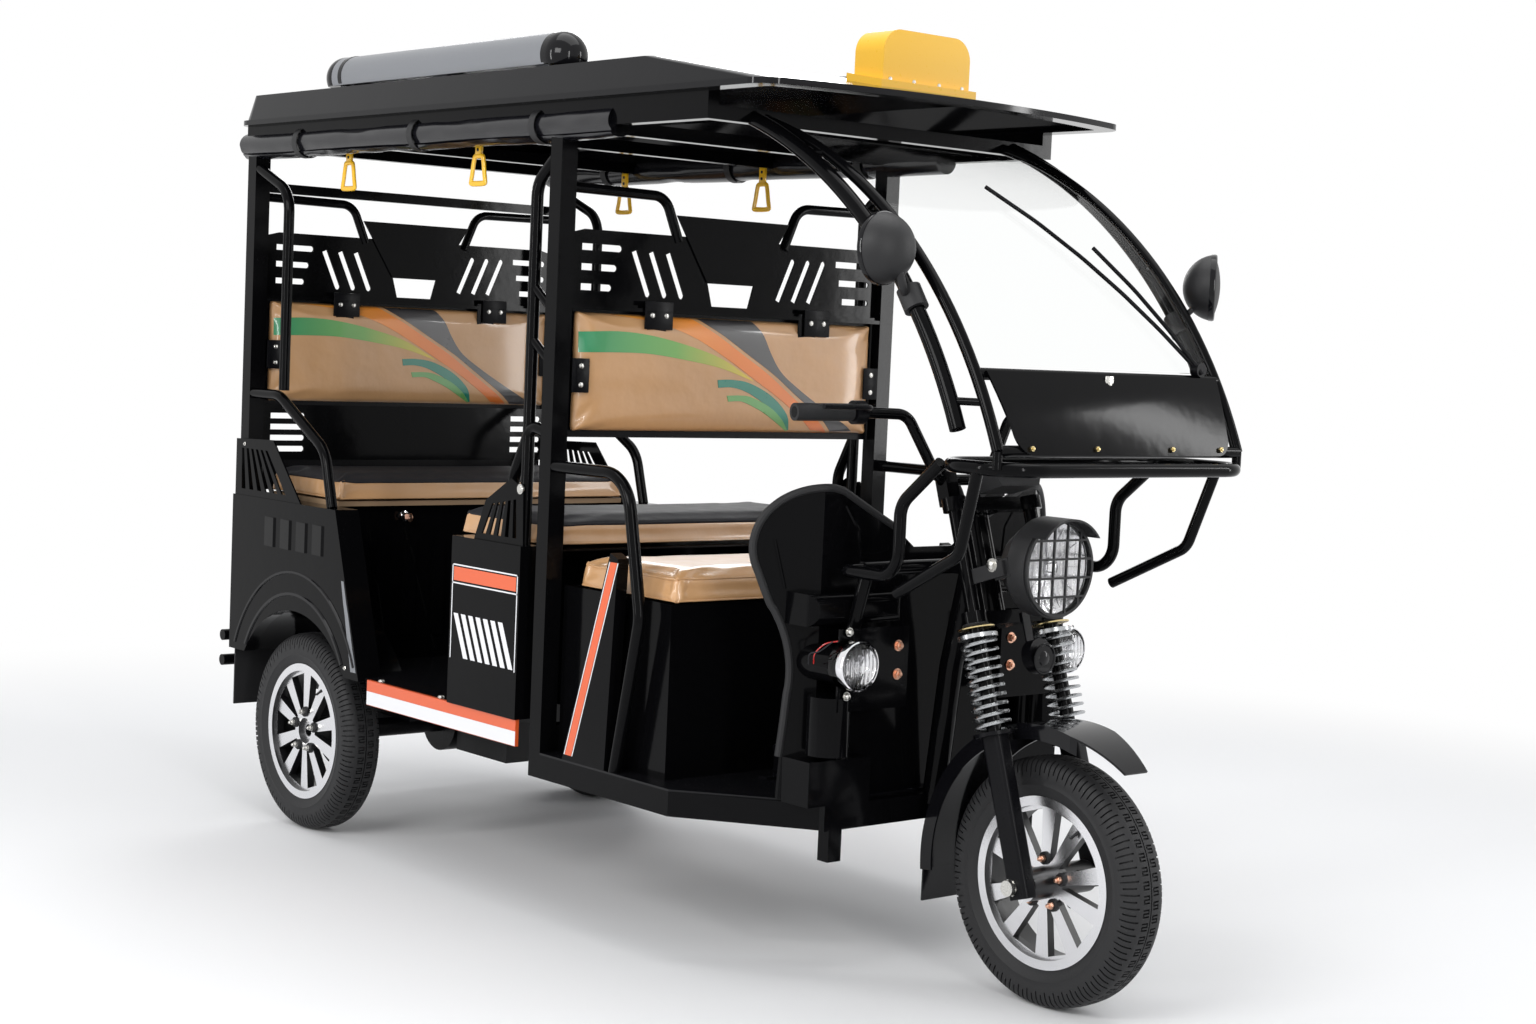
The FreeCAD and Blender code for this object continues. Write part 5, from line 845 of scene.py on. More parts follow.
def printed(name, node, surface, material, lift, left, right, columns=10):
    """A thin printed band between two curves, pressed onto the front of a backrest."""
    low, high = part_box(node)
    first, second = (smooth_path([(u, v, 0) for u, v in side], 9) for side in (left, right))
    shape, sheets = bmesh.new(), []
    for height in (lift, -PRINT_SINKS):
        rows = []
        for start, end in zip(first, second):
            row = []
            for column in range(columns + 1):
                u, v = (start.lerp(end, column / columns))[:2]
                x, z = low[0] + u * (high[0] - low[0]), high[2] - v * (high[2] - low[2])
                place = front_hit(surface, x, low[1] - 0.05, z) or Vector((x, low[1] + 0.002, z))
                row.append(shape.verts.new(place - Vector((0, height, 0))))
            rows.append(row)
        sheets.append(rows)
    thin_sheet(shape, sheets)
    return show(name, shape, material, BODY)


for node in ("middle_backrest", "rear_backrest"):
    surface = surface_of(pads[node])
    for band, (material, lift, left, right) in BANDS.items():
        printed("print_" + band + "_" + node, node, surface, material, lift, left, right)
print(2 * len(BANDS), "printed bands")

# %% [markdown]
# The boards behind the covers hang in four pressed brackets, each with two screws. They are folded over the board's
# edge, so each one shows as a small rounded plate on the front.

# %% Backrest brackets
for node in ("middle_backrest", "rear_backrest"):
    low, high = corners_of(node)
    width, height = high.x - low.x, high.z - low.z
    front = low.y - 0.0085
    plates, screws = bmesh.new(), bmesh.new()
    for u, v, upright in ((0.249, 0.0, False), (0.784, 0.0, False), (0.0, 0.53, True), (1.0, 0.53, True)):
        x, z = low.x + u * width, high.z - v * height
        across, tall = (0.022, 0.036) if upright else (0.038, 0.030)
        x += 0.010 if u == 0 else -0.010 if u == 1 else 0
        z -= 0.006 if v == 0 else 0
        block(plates, (x - across, front, z - tall), (x + across, front + 0.003, z + tall), 0.0012)
        if v == 0:
            block(plates, (x - across, front, high.z + 0.001), (x + across, high.y, high.z + 0.0035), 0.0008)
        else:
            side = -1 if u == 0 else 1
            edge = low.x - 0.0035 if u == 0 else high.x + 0.001
            block(plates, (edge, front, z - tall), (edge + 0.0025, high.y, z + tall), 0.0008)
        for way in (-1, 1):
            spot = Vector((x, front, z + way * 0.020)) if upright else Vector((x + way * 0.019, front, z))
            turned(screws, spot, (0, -1, 0), [(0, 0), (0, 0.006), (0.0016, 0.0055), (0.0026, 0.003), (0.0028, 0)], 16)
    show("brackets_" + node, plates, satin_paint, BODY)
    show("bracket_screws_" + node, screws, bright_steel, BODY)
print("brackets on two backrests")

# %% [markdown]
# The side panels carry applied strips: orange and white bands along the sill and up the slanted panel, and a
# bordered panel of slanting white bars on the side box. They are film, so each is half a millimetre thick and sits
# flat on the painted sheet.

# %% Applied strips
STRIP, BOX_SIDE, BORDER, BAR_WIDE, BAR_LEAN = 0.0005, 0.4955, 0.003, 0.017, 0.044


def side_strip(shape, side, x, corners):
    """A flat piece of film on a side face: corners as (y, z), on the plane x = side * x."""
    plate(shape, [(side * x, y, z) for y, z in corners], (side, 0, 0), STRIP)


def level_strip(shape, side, x, y0, y1, z0, z1):
    """A piece of film with level and upright edges."""
    side_strip(shape, side, x, [(y0, z1), (y1, z1), (y1, z0), (y0, z0)])


white, orange = bmesh.new(), bmesh.new()
for side in (-1, 1):
    front, back, low, high = 0.009, 0.261, 0.516, 0.724
    level_strip(orange, side, BOX_SIDE, front + 0.006, back - 0.006, high - 0.036, high - 0.006)
    for top in (high, high - 0.040):
        level_strip(white, side, BOX_SIDE, front, back, top - BORDER, top)
    for start in (front, back - BORDER):
        level_strip(white, side, BOX_SIDE, start, start + BORDER, low, high)
    bar_low, bar_high, count = low + 0.004, low + 0.100, 7
    pitch = (back - front - 0.050) / count
    for k in range(count):
        y = front + 0.052 + k * pitch
        side_strip(white, side, BOX_SIDE, [(y, bar_high), (y + BAR_WIDE, bar_high),
                                           (y + BAR_WIDE - BAR_LEAN, bar_low), (y - BAR_LEAN, bar_low)])
sill_low, sill_high = corners_of("sill_boards")
for side in (-1, 1):
    wall, tall = sill_high.x + 0.0002, sill_high.z - sill_low.z
    y0, y1 = sill_low.y + 0.001, sill_high.y - 0.001
    split = sill_high.z - tall * 0.42
    level_strip(orange, side, wall, y0, y1, split, sill_high.z - 0.001)
    level_strip(white, side, wall, y0, y1, sill_low.z + 0.001, split - 0.0015)
show("side_strips_white", white, white_film, BODY)
show("side_strips_orange", orange, orange_paint, BODY)

slant_low, slant_high = corners_of("slant_panels")
slant_surface = surface_of(bpy.data.objects["slant_panels"])
for side in (-1, 1):
    stripe, border = bmesh.new(), bmesh.new()
    edge = []
    for step in range(13):
        z = slant_low.z + 0.012 + (slant_high.z - slant_low.z - 0.03) * step / 12
        for probe in range(200):
            y = slant_high.y + 0.01 - probe * 0.002
            hit = side_hit(slant_surface, side, y, z)
            if hit and abs(hit.x) > 0.38:
                edge.append((y - 0.003, z, abs(hit.x)))
                break
    print("slanted stripe has", len(edge), "stations, first", [round(v, 3) for v in edge[0]],
          "last", [round(v, 3) for v in edge[-1]])
    for (ya, za, xa), (yb, zb, xb) in zip(edge[::4], edge[4::4]):
        for shape, near, far, lift in ((stripe, 0.004, 0.026, 0.0003), (border, 0.0, 0.0025, 0.0003),
                                       (border, 0.0275, 0.030, 0.0003)):
            plate(shape, [(side * (xa + lift), ya - near, za), (side * (xb + lift), yb - near, zb),
                          (side * (xb + lift), yb - far, zb), (side * (xa + lift), ya - far, za)], (side, 0, 0),
                  STRIP)
    name = "left" if side > 0 else "right"
    show("slant_stripe_" + name, stripe, orange_paint, BODY)
    show("slant_border_" + name, border, white_film, BODY)

# %% [markdown]
# The head of the fork is where bright parts gather: a brass-coloured washer on each spring and a rubber boot over the
# tube above it. They lie along the fork's own axis, which leans back. The axle ends in a nut on each side.

# %% Fork boots, washers and axle nuts
RAKE = math.radians(18)
FORK_FOOT = Vector(AXLES["front"])
FORK_UP = Vector((0, math.sin(RAKE), math.cos(RAKE)))
FORK_AHEAD = Vector((0, -math.cos(RAKE), math.sin(RAKE)))


def on_fork(side, up, ahead=0.0):
    """A point on a fork leg: how far up the fork line and how far in front of it."""
    return FORK_FOOT + Vector((side * 0.104, 0, 0)) + FORK_UP * up + FORK_AHEAD * ahead


tube_low, tube_high = corners_of("fork_stanchions")
spring_high = corners_of("fork_springs")[1]
AXIS_SHIFT = ((tube_low + tube_high) / 2 - FORK_FOOT).dot(-FORK_AHEAD)
SPRING_HEAD = (spring_high - FORK_FOOT).dot(FORK_UP)
print("fork tubes run", round(AXIS_SHIFT * 1000, 1), "mm behind the wheel's line; spring top at",
      round(SPRING_HEAD * 1000), "mm")
washers, boots = bmesh.new(), bmesh.new()
for side in (-1, 1):
    top = on_fork(side, SPRING_HEAD - 0.012, -AXIS_SHIFT)
    turned(washers, top, FORK_UP, [(0, 0.016), (0, 0.036), (0.0022, 0.037), (0.0030, 0.036), (0.0030, 0.016),
                                   (0, 0.016)], 40)
    turned(boots, top + FORK_UP * 0.0032, FORK_UP,
           [(0, 0.0155), (0, 0.024), (0.004, 0.0255), (0.009, 0.0235), (0.0095, 0.0155), (0, 0.0155)], 32)
show("spring_washers", washers, brass, STEERING)
show("spring_boots", boots, rubber, STEERING)

axle_high = corners_of("front_axle")[1]
ends = bmesh.new()
for side in (-1, 1):
    tip = Vector((side * (axle_high.x - 0.012), FORK_FOOT.y, FORK_FOOT.z))
    turned(ends, tip, (side, 0, 0), [(0, 0), (0, 0.017), (0.002, 0.017), (0.002, 0.0125), (0.011, 0.0125),
                                     (0.0118, 0.0105), (0.0118, 0)], 6)
show("axle_nuts", ends, bright_steel, STEERING)
print("fork fittings placed")

# %% [markdown]
# The lamps show their insides. The headlamp has a bright bowl, a bulb and a ribbed lens behind its wire guard, and
# each front indicator is a clear moulded lens in a chrome ring, held by two screws, with its wires looped behind.

# %% Headlamp and indicators
lens_low, lens_high = corners_of("headlamp_lens")
lamp_face = Vector((0, lens_low.y, (lens_low.z + lens_high.z) / 2))
lamp_reach = (lens_high.x - lens_low.x) / 2
print("headlamp lens", [round(v, 3) for v in lens_low], [round(v, 3) for v in lens_high])
reflector = finish("lamp_reflector", (0.80, 0.80, 0.82), rough=0.22, metal=0.75, grain=30, bump=0.15)
bowl = bmesh.new()
turned(bowl, lamp_face, (0, 1, 0), [(0.007, lamp_reach - 0.003), (0.012, lamp_reach * 0.84),
                                    (0.019, lamp_reach * 0.52), (0.022, lamp_reach * 0.24), (0.0225, 0), (0.0245, 0),
                                    (0.0245, lamp_reach - 0.003), (0.007, lamp_reach - 0.003)], 64)
for k in range(10):
    angle = math.tau * k / 10
    way = Vector((math.cos(angle), 0, math.sin(angle)))
    ribs = ((0.0212, 0.020), (0.0165, lamp_reach * 0.56), (0.0105, lamp_reach - 0.012))
    swept(bowl, [lamp_face + Vector((0, deep, 0)) + way * out for deep, out in ribs], round_section(0.0011, 6),
          upward=(0, 1, 0))
show("headlamp_bowl", bowl, reflector, STEERING)
bulb = bmesh.new()
turned(bulb, lamp_face + Vector((0, 0.0215, 0)), (0, -1, 0),
       [(0, 0), (0, 0.019), (0.004, 0.0175), (0.009, 0.0165), (0.0125, 0.011), (0.0135, 0)], 28)
show("headlamp_bulb_cap", bulb, chrome, STEERING)
glass = bmesh.new()
turned(glass, lamp_face, (0, 1, 0), [(0.0005, 0), (0.0009, lamp_reach * 0.5), (0.0022, lamp_reach - 0.002),
                                     (0.0050, lamp_reach - 0.002), (0.0038, lamp_reach * 0.5), (0.0034, 0)], 64)
for k in range(-4, 5):
    x = k * 0.018
    tall = math.sqrt(max(0.0, (lamp_reach - 0.012) ** 2 - x * x))
    block(glass, lamp_face + Vector((x - 0.0014, 0.0040, -tall)), lamp_face + Vector((x + 0.0014, 0.0056, tall)),
          0.0004)
glass = show("headlamp_glass", glass, lens_glass, STEERING)
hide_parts("headlamp_lens")
ear_bolts = bmesh.new()
for side in (-1, 1):
    spot = Vector((side * 0.1035, lamp_face.y + 0.070, lamp_face.z + 0.002))
    turned(ear_bolts, spot - Vector((side * 0.004, 0, 0)), (side, 0, 0),
           [(0, 0), (0, 0.013), (0.0052, 0.013), (0.0052, 0.0085), (0.011, 0.0085), (0.012, 0.007), (0.012, 0)], 24)
show("headlamp_ear_bolts", ear_bolts, bright_steel, STEERING)

signal_low, signal_high = corners_of("front_indicators")
SIGNAL_X, SIGNAL_Z = 0.293, (signal_low.z + signal_high.z) / 2
signal_face = signal_low.y
globes, rings, cups, screws, fins = (bmesh.new() for _ in range(5))
wires = []
for side in (-1, 1):
    place = Vector((side * SIGNAL_X, signal_face, SIGNAL_Z))
    turned(rings, place, (0, -1, 0), [(-0.012, 0.0478), (0.0015, 0.0490), (0.005, 0.0482), (0.006, 0.0455),
                                      (0.002, 0.0435), (-0.006, 0.0430), (-0.012, 0.0430), (-0.012, 0.0478)], 56)
    turned(cups, place, (0, -1, 0), [(0.0008, 0), (0.0008, 0.016), (0.0014, 0.017), (0.0010, 0.030),
                                     (0.0022, 0.0428), (0.0004, 0.0428), (0.0002, 0)], 48)
    turned(globes, place, (0, -1, 0), [(0.004, 0.0430), (0.0065, 0.0415), (0.0100, 0.0350), (0.0124, 0.0250),
                                       (0.0136, 0.0130), (0.0139, 0), (0.0115, 0), (0.0112, 0.0130),
                                       (0.0100, 0.0245), (0.0076, 0.0335), (0.0046, 0.0400), (0.004, 0.0430)], 56)
    for k in range(-3, 4):
        x = place.x + k * 0.010
        tall = math.sqrt(0.036 ** 2 - (k * 0.010) ** 2)
        block(fins, (x - 0.0013, signal_face - 0.0055, SIGNAL_Z - tall),
              (x + 0.0013, signal_face - 0.0024, SIGNAL_Z + tall), 0.0004)
    for lift in (-1, 1):
        spot = place + Vector((0, 0.030, lift * 0.062))
        turned(screws, spot, (0, -1, 0), [(0, 0), (0, 0.009), (0.0016, 0.009), (0.0016, 0.0062), (0.0066, 0.0058),
                                          (0.0078, 0.004), (0.0082, 0)], 20)
    for shift, material, slot in ((0.0, red_lens, "red_lens"), (0.013, charcoal_film, "black_rubber")):
        edge = place + Vector((0, 0.024, 0))
        path = [edge + Vector((side * (0.030 + shift), 0.004, 0.046)),
                edge + Vector((side * (0.052 + shift), 0.016, 0.040 - shift)),
                edge + Vector((side * (0.060 + shift), 0.034, 0.020)),
                edge + Vector((side * (0.048 + shift), 0.050, -0.002))]
        wire = bmesh.new()
        swept(wire, smooth_path(path, 8), round_section(0.0014, 8))
        wires.append(show("indicator_wire_%d" % len(wires), wire, material, BODY))
show("indicator_rings", rings, chrome, BODY)
show("indicator_reflectors", cups, chrome, BODY)
show("indicator_globes", globes, lens_glass, BODY)
show("indicator_fins", fins, lens_glass, BODY)
show("indicator_screws", screws, bright_steel, BODY)
copper_bolts = bmesh.new()
for side in (-1, 1):
    for z in (0.662, 0.606):
        bolt(copper_bolts, (side * 0.158, -0.806, z), (0, -1, 0), 0.015)
show("flange_bolts", copper_bolts, copper, BODY)
print("lamps fitted")

# %% [markdown]
# The horn's face is a shallow pressed disc with a raised middle. The horn hangs from the fork beside the springs, so
# it turns with the handlebar.

# %% Horn face
horn_low, horn_high = corners_of("horn")
horn = bmesh.new()
horn_spot = Vector(((horn_low.x + horn_high.x) / 2 - 0.002, horn_low.y + 0.0022, horn_low.z + 0.033))
turned(horn, horn_spot, (0, -1, 0), [(-0.001, 0), (-0.001, 0.0300), (0.0016, 0.0300), (0.0020, 0.0270),
                                     (-0.0004, 0.0245), (-0.0004, 0.0150), (0.0018, 0.0120), (0.0022, 0)], 40)
show("horn_face", horn, gloss_plastic, STEERING)
print("horn", [round(v, 3) for v in horn_low], [round(v, 3) for v in horn_high])

# %% [markdown]
# The leg shield's raw edge is covered by a thick rubber profile. It follows the outline of the sheet, whose waist and
# lobe are arcs, and goes back with the sheet's bends. A few raised creases stiffen the sheet below its top edge.

# %% Leg shield edge and creases
def arc(start, end, radius, steps):
    """Points on an arc between two flat points; a positive radius bulges to the left of the way along."""
    (x0, z0), (x1, z1) = start, end
    chord = math.hypot(x1 - x0, z1 - z0)
    reach = math.sqrt(radius * radius - chord * chord / 4)
    sign = 1 if radius > 0 else -1
    mx, mz = (x0 + x1) / 2, (z0 + z1) / 2
    cx, cz = mx + sign * (z1 - z0) / chord * reach, mz - sign * (x1 - x0) / chord * reach
    a0, a1 = math.atan2(z0 - cz, x0 - cx), math.atan2(z1 - cz, x1 - cx)
    turn = (a1 - a0 + math.pi) % math.tau - math.pi
    return [(cx + abs(radius) * math.cos(a0 + turn * k / steps), cz + abs(radius) * math.sin(a0 + turn * k / steps))
            for k in range(steps)]


outline = [(-0.350, 0.440), (-0.345, 0.50)] + arc((-0.341, 0.560), (-0.383, 0.753), -0.280, 14)
outline += arc((-0.396, 0.800), (-0.240, 0.954), 0.118, 22) + [(-0.240, 0.954), (-0.176, 0.9195), (-0.112, 0.887)]
SHEET_BENDS = ((0.155, -0.730), (0.295, -0.726), (0.405, -0.650))


def sheet_row(x):
    """How far back the bent sheet lies at a distance from the middle, from its three bends."""
    wide = abs(x)
    (flat_end, flat_y), (bend_end, bend_y), (half, edge_y) = SHEET_BENDS
    if wide > bend_end:
        return edge_y - (half - wide) * (edge_y - bend_y) / (half - bend_end)
    return bend_y - (bend_end - wide) * (bend_y - flat_y) / (bend_end - flat_end) if wide > flat_end else flat_y


for side in (-1, 1):
    path = [Vector((-side * x, sheet_row(x) + 0.002, z)) for x, z in outline]
    edge = bmesh.new()
    swept(edge, smooth_path(path, 3), round_section(0.0082), upward=(0, 1, 0))
    show("shield_edge_" + ("right" if side > 0 else "left"), edge, rubber, BODY)
creases = bmesh.new()
for side in (-1, 1):
    for x0, z0, x1, z1 in ((0.372, 0.862, 0.352, 0.766), (0.205, 0.880, 0.192, 0.762), (0.205, 0.880, 0.240, 0.930)):
        path = [Vector((side * (x0 + (x1 - x0) * t), sheet_row(x0 + (x1 - x0) * t) - 0.0005, z0 + (z1 - z0) * t))
                for t in (0.0, 0.5, 1.0)]
        swept(creases, path, ridge_section(0.004, 0.001, 0.0022), upward=(0, -1, 0))
show("shield_creases", creases, gloss_paint, BODY)
print("shield edged with", len(outline), "points a side")

# %% [markdown]
# The rear fender is vacuum-formed: two raised ridges follow the wheel arch, and a bright strip covers its front
# edge. Each ridge is a bar bent along the arch, laid on the side wherever the wall is there. Bolts hold the panels.

# %% Rear fender trim
_, WHEEL_Y, WHEEL_Z = AXLES["rear_right"]
FENDER_SIDE = 0.4965
fender_surface = surface_of(bpy.data.objects["rear_body"])
side_box_surface = surface_of(bpy.data.objects["side_boxes"])


def fender_x(side, y, z):
    """How far out the rear body's side is at a place, or nothing where it is open."""
    hit = side_hit(fender_surface, side, y, z)
    return abs(hit.x) if hit and abs(hit.x) > 0.45 else None


flange, bright, side_bolts = (bmesh.new() for _ in range(3))
for side in (-1, 1):
    for reach, wide, tall in ((0.292, 0.0055, 0.0035), (0.345, 0.0045, 0.0030)):
        path = []
        for k in range(41):
            angle = math.radians(-14 + 200 * k / 40)
            y, z = WHEEL_Y - reach * math.cos(angle) * 0.93, WHEEL_Z + 0.045 + reach * math.sin(angle)
            x = fender_x(side, y, z)
            if x and z > 0.415:
                path.append(Vector((side * min(x, FENDER_SIDE), y, z)))
        if len(path) > 5:
            swept(flange, path, ridge_section(wide, wide * 0.6, tall, 0.001), upward=(side, 0, 0))
    front_edge = []
    for step in range(9):
        z = 0.425 + step * 0.026
        for probe in range(120):
            y = 0.60 + probe * 0.002
            x = fender_x(side, y, z)
            if x:
                front_edge.append((y, z, min(x, 0.4968)))
                break
    for (ya, za, xa), (yb, zb, xb) in zip(front_edge, front_edge[1:]):
        wa, wb = (0.010 + 0.014 * (0.64 - z) / 0.22 for z in (za, zb))
        plate(bright, [(side * xa, ya + 0.004, za), (side * xb, yb + 0.004, zb), (side * xb, yb + 0.004 + wb, zb),
                       (side * xa, ya + 0.004 + wa, za)], (side, 0, 0), 0.0009)
    for y, z in ((1.236, 0.925), (1.000, 0.915), (0.668, 0.90), (0.71, 0.43)):
        x = fender_x(side, y, z)
        if x:
            bolt(side_bolts, (side * min(x, FENDER_SIDE) - side * 0.0045, y, z), (side, 0, 0), 0.010, washer=False)
    for y, z in ((0.024, 0.905), (0.246, 0.905)):
        hit = side_hit(side_box_surface, side, y, z)
        if hit and abs(hit.x) > 0.4:
            turned(side_bolts, (hit.x - side * 0.002, y, z), (side, 0, 0),
                   [(0, 0), (0, 0.011), (0.0035, 0.011), (0.0035, 0.0075), (0.0052, 0.0065), (0.0056, 0)], 24)
show("fender_flanges", flange, gloss_plastic, BODY)
show("fender_bright_edges", bright, brushed_alloy, BODY)
show("side_bolts", side_bolts, bright_steel, BODY)
print("fender trimmed")

# %% [markdown]
# Each backrest is screwed to a thin black steel frame that fills the gap to the posts, and a narrow apron closes
# the slot between the rear cushion and the plate behind it.

# %% Backrest frames and rear apron
frames = bmesh.new()
for node in ("middle_backrest", "rear_backrest"):
    low, high = corners_of(node)
    block(frames, (low.x - 0.012, high.y - 0.0035, low.z - 0.008), (high.x + 0.012, high.y - 0.0005, high.z + 0.004))
plates_low, plates_high = corners_of("back_plates")
cushion_low = corners_of("rear_cushion")[0]
block(frames, (-0.424, plates_high.y - 0.004, cushion_low.z), (0.424, plates_high.y - 0.0005, plates_low.z + 0.002))
show("backrest_frames", frames, satin_paint, BODY)
print("apron from", round(cushion_low.z, 3), "to", round(plates_low.z, 3))

# %% [markdown]
# The seat boxes are folded sheet with pressed diagonal ribs, and the rear one has a lock with its key in it. Plain
# bolts hold the floor to the frame.

# %% Seat box ribs, lock and floor bolts
pressed, lock, key, floor_bolts = (bmesh.new() for _ in range(4))
box_surface = surface_of(bpy.data.objects["seat_boxes"])
for x0, x1 in ((-0.33, -0.27), (-0.23, -0.12), (0.12, 0.02)):
    path = []
    for k in range(13):
        t = k / 12
        hit = front_hit(box_surface, x0 + (x1 - x0) * t, 0.45, 0.74 - 0.34 * t)
        if hit and hit.y > 0.8:
            path.append(hit + Vector((0, -0.0002, 0)))
    if len(path) > 3:
        swept(pressed, path, ridge_section(0.0045, 0.002, 0.0028), upward=(0, -1, 0))
show("seat_box_ribs", pressed, gloss_paint, BODY)
LOCK_X, LOCK_Z = -0.23, 0.769
lock_face = front_hit(box_surface, LOCK_X, 0.45, LOCK_Z) or Vector((LOCK_X, 0.88, LOCK_Z))
turned(lock, lock_face, (0, -1, 0), [(-0.002, 0), (-0.002, 0.013), (0.003, 0.013), (0.004, 0.0095),
                                     (0.016, 0.0092), (0.018, 0.0078), (0.018, 0)], 28)
block(key, lock_face + Vector((-0.0008, -0.026, -0.006)), lock_face + Vector((0.0008, -0.017, 0.006)), 0.0003)
turned(key, lock_face + Vector((0.0012, -0.031, -0.002)), (-1, 0, 0),
       [(0, 0.004), (0, 0.011), (0.0022, 0.011), (0.0022, 0.004), (0, 0.004)], 24)
show("seat_lock", lock, chrome, BODY)
show("seat_lock_key", key, copper, BODY)
sill_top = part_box("sill_boards")[1][2]
for side in (-1, 1):
    for y in (0.060, 0.330, 0.585):
        turned(floor_bolts, (side * 0.470, y, sill_top - 0.0005), (0, 0, 1),
               [(0, 0), (0, 0.008), (0.002, 0.0078), (0.0045, 0.005), (0.005, 0)], 20)
show("floor_bolts", floor_bolts, bright_steel, BODY)
print("lock at", [round(v, 3) for v in lock_face])

# %% [markdown]
# The side curtains are rolled up under the roof's edge: one sheet of vinyl a side, wound into a loose roll, sagging
# a little between its straps, with soft dents. A roll is a sheet, so it is built as one: a spiral carried along the
# roll's length, with its turns a little apart, and its outer turn dented.

# %% Rolled side curtains
roll_low, roll_high = corners_of("curtain_rolls")
ROLL_R, TURNS, CUT_LENGTH = (roll_high.z - roll_low.z) / 2, 5.0, roll_high.y - roll_low.y
roll_z = (roll_low.z + roll_high.z) / 2
inner, outer = 0.010, ROLL_R - 0.0025


def rolled(side):
    """One curtain: a spiral section along the roll, with a small thickness."""
    centre_x = side * (roll_high.x - ROLL_R)
    around_steps, length_steps, thick = 150, 90, 0.0008
    shape, layers = bmesh.new(), []
    for layer in (0, thick):
        rows = []
        for step in range(length_steps + 1):
            y = roll_low.y + CUT_LENGTH * step / length_steps
            sag = -0.0016 * math.sin(math.pi * 3 * step / length_steps) ** 2
            row = []
            for turn in range(around_steps + 1):
                t = turn / around_steps
                angle = math.tau * TURNS * t + side * 0.8
                radius = inner + (outer - inner) * t
                flat = Vector((y * 6, math.cos(angle) * 0.9, math.sin(angle) * 0.9 + side * 7))
                dent = noise.noise(flat) + 0.45 * noise.noise(flat * 2.7)
                radius -= t ** 3 * (0.0010 + 0.0085 * max(0.0, dent))
                radius -= layer
                row.append(shape.verts.new((centre_x + side * radius * math.cos(angle), y,
                                            roll_z + sag * t + radius * math.sin(angle))))
            rows.append(row)
        layers.append(rows)
    thin_sheet(shape, layers)
    name = "curtain_" + ("left" if side > 0 else "right")
    sheet = show(name, shape, wrap_vinyl, BODY, crease=60)
    return sheet


curtains = [rolled(side) for side in (-1, 1)]
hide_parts("curtain_rolls")
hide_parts("curtain_rolls")
straps = bmesh.new()
for side in (-1, 1):
    centre_x = side * (roll_high.x - ROLL_R)
    for y in (0.02, 0.50, 1.02):
        ring = [Vector((centre_x + (ROLL_R - 0.0012) * math.cos(a), y, roll_z + (ROLL_R - 0.0012) * math.sin(a)))
                for a in [math.tau * k / 40 for k in range(40)]]
        swept(straps, ring, strap_section(0.0006, 0.011), upward=(0, 1, 0), closed=True)
show("curtain_straps", straps, matte_plastic, BODY)

# %% [markdown]
# Roof furniture: the silver roll pods on the roof have black moulded end caps and two joint bands, and the yellow
# sign box is held by small screws through its feet.

# %% Roof pods and sign
pod_low, pod_high = corners_of("roof_pods")
pod_z = (pod_low.z + pod_high.z) / 2
pods = bpy.data.objects["roof_pods"]
pod_surface = surface_of(pods)
bands = bmesh.new()
pods.data.materials.append(gloss_plastic)
for face in pods.data.polygons:
    if not 0.034 < face.center.y < 0.862:
        face.material_index = len(pods.data.materials) - 1
for side in (-1, 1):
    for y in (0.028, 0.862):
        ring = []
        for k in range(48):
            way = Vector((math.cos(math.tau * k / 48), 0, math.sin(math.tau * k / 48)))
            hit = pod_surface.ray_cast(Vector((side * 0.420, y, pod_z)) + way * 0.2, -way)[0]
            if hit:
                ring.append(hit + way * -0.0002)
        if len(ring) == 48:
            swept(bands, ring, strap_section(0.0016, 0.007, 0.0012), upward=(0, 1, 0), closed=True)
show("roof_pod_bands", bands, gloss_plastic, BODY)
sign_low = corners_of("roof_sign")[0]
sign_screws = bmesh.new()
sign_surface = surface_of(bpy.data.objects["roof_sign"])
for x in (-0.100, -0.035, 0.035, 0.100):
    hit = front_hit(sign_surface, x, sign_low.y - 0.1, sign_low.z + 0.018)
    if hit:
        turned(sign_screws, hit, (0, -1, 0), [(-0.001, 0), (-0.001, 0.005), (0.0012, 0.0046), (0.0022, 0.002),
                                              (0.0023, 0)], 16)
if len(sign_screws.verts):
    show("sign_screws", sign_screws, bright_steel, BODY)
print("pods and sign done")

# %% [markdown]
# The mirrors are black shells with a narrow raised rim that holds the glass. Each rim is a turned ring that faces
# the way its mirror faces.

# %% Mirror rims
MIRRORS = (((-0.420, -0.986, 1.416), 8), ((0.420, -1.061, 1.386), -142))
rims = bmesh.new()
for place, turn in MIRRORS:
    facing = Matrix.Rotation(math.radians(turn), 3, "Z") @ Vector((0, 1, 0))
    turned(rims, place, facing, [(-0.006, 0.0662), (0.0005, 0.0668), (0.0040, 0.0660), (0.0052, 0.0642),
                                 (0.0040, 0.0622), (0.0010, 0.0622), (-0.006, 0.0640), (-0.006, 0.0662)], 64)
show("mirror_rims", rims, gloss_plastic, BODY)

# %% [markdown]
# Four yellow hand grips hang from the roof rails. Each is one moulding: a flat tab with two screws, and below it a
# rounded loop that is wider at the bottom.

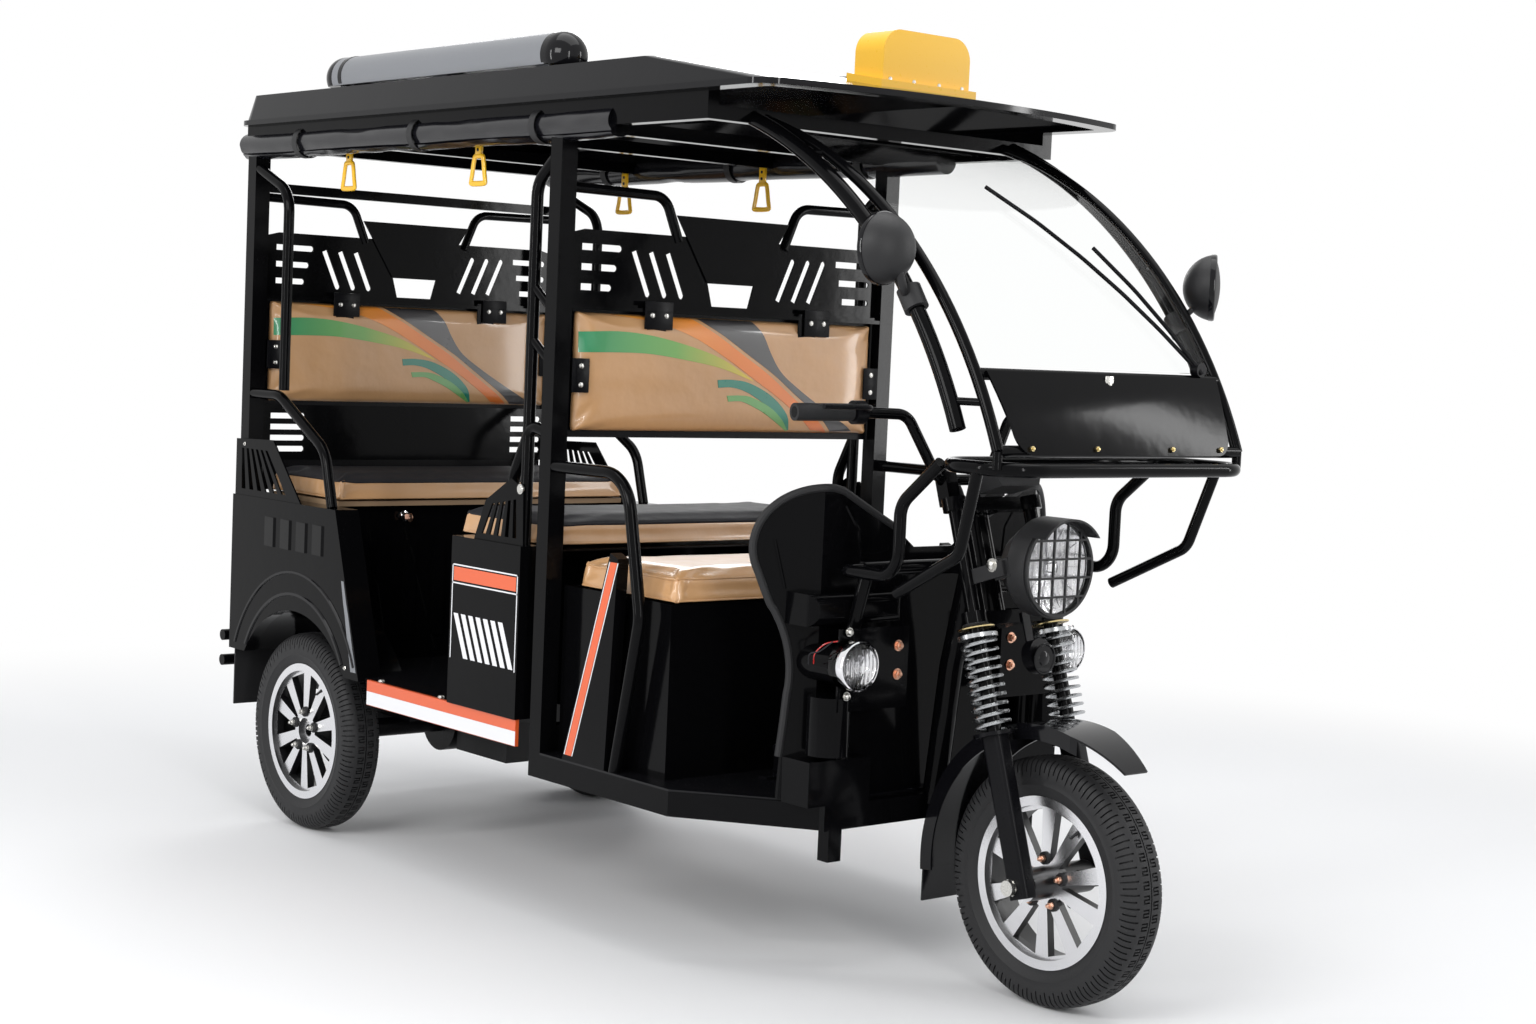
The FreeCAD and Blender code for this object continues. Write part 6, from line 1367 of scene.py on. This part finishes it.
# %% Hand grips
grip_points = [point.co.copy() for point in bpy.data.objects["grab_handles"].data.vertices]
grip_low, grip_high = corners_of("grab_handles")
grip_middle = (grip_low.y + grip_high.y) / 2
grips, grip_screws = bmesh.new(), bmesh.new()
for side in (-1, 1):
    for part in (-1, 1):
        near = [p for p in grip_points if p.x * side > 0 and (p.y - grip_middle) * part > 0]
        low = Vector([min(p[axis] for p in near) for axis in range(3)])
        high = Vector([max(p[axis] for p in near) for axis in range(3)])
        x, y, wide = (low.x + high.x) / 2, (low.y + high.y) / 2, (high.y - low.y) / 2
        top, foot = high.z, low.z + 0.006
        corners = [(-0.42, 0.60), (0.42, 0.60), (0.62, 0.50), (0.80, 0.22), (0.92, 0.06), (0.80, 0.0), (-0.80, 0.0),
                   (-0.92, 0.06), (-0.80, 0.22), (-0.62, 0.50)]
        ring = [Vector((x, y + a * (wide - 0.004), foot + b * (top - foot))) for a, b in corners]
        swept(grips, smooth_path(ring, 5, closed=True), [(a * 0.0062, b * 0.0042) for a, b in round_section(1)],
              upward=(1, 0, 0), closed=True)
        block(grips, (x - 0.0035, y - 0.011, foot + 0.56 * (top - foot)), (x + 0.0035, y + 0.011, top), 0.0012)
        for lift in (0.010, 0.026):
            turned(grip_screws, (x - 0.0035, y, top - lift), (-1, 0, 0), [(-0.0005, 0), (-0.0005, 0.004),
                                                                          (0.0010, 0.0036), (0.0018, 0.0015),
                                                                          (0.0019, 0)], 14)
loops = show("hand_grips", grips, yellow_plastic, BODY)
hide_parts("grab_handles")
show("hand_grip_screws", grip_screws, cast_paint, BODY)
print("hand grips", round(wide * 2000), "mm wide")

# %% [markdown]
# Brass-coloured screws hold the front panel to the hoop, and a small clip holds its upper edge.

# %% Front panel screws and clips
panel_low, panel_high = corners_of("front_panel")
panel_surface = surface_of(bpy.data.objects["front_panel"])
panel_screws, clip = bmesh.new(), bmesh.new()
for x in (-0.262, -0.09, 0.12, 0.262):
    hit = front_hit(panel_surface, x, -1.6, panel_low.z + 0.012)
    if hit:
        bolt(panel_screws, hit, (0, -1, 0), 0.010, washer=False)
show("front_panel_screws", panel_screws, brass, BODY)
hit = front_hit(panel_surface, 0.0, -1.6, panel_high.z - 0.008)
if hit:
    block(clip, (hit.x - 0.011, hit.y - 0.004, hit.z - 0.022), (hit.x + 0.011, hit.y - 0.0005, hit.z + 0.006), 0.0015)
    turned(clip, hit + Vector((0, -0.003, -0.010)), (0, -1, 0), [(0, 0), (0, 0.0062), (0.002, 0.0058),
                                                                 (0.003, 0.003), (0.0032, 0)], 20)
    show("front_panel_clip", clip, bright_steel, BODY)
print("front panel fittings done")

# %% [markdown]
# The bounds of everything that renders, the backdrop left out, are measured. The visual
# model has to stay inside the engineering model's box.

# %% Measure the bounds
low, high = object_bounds()
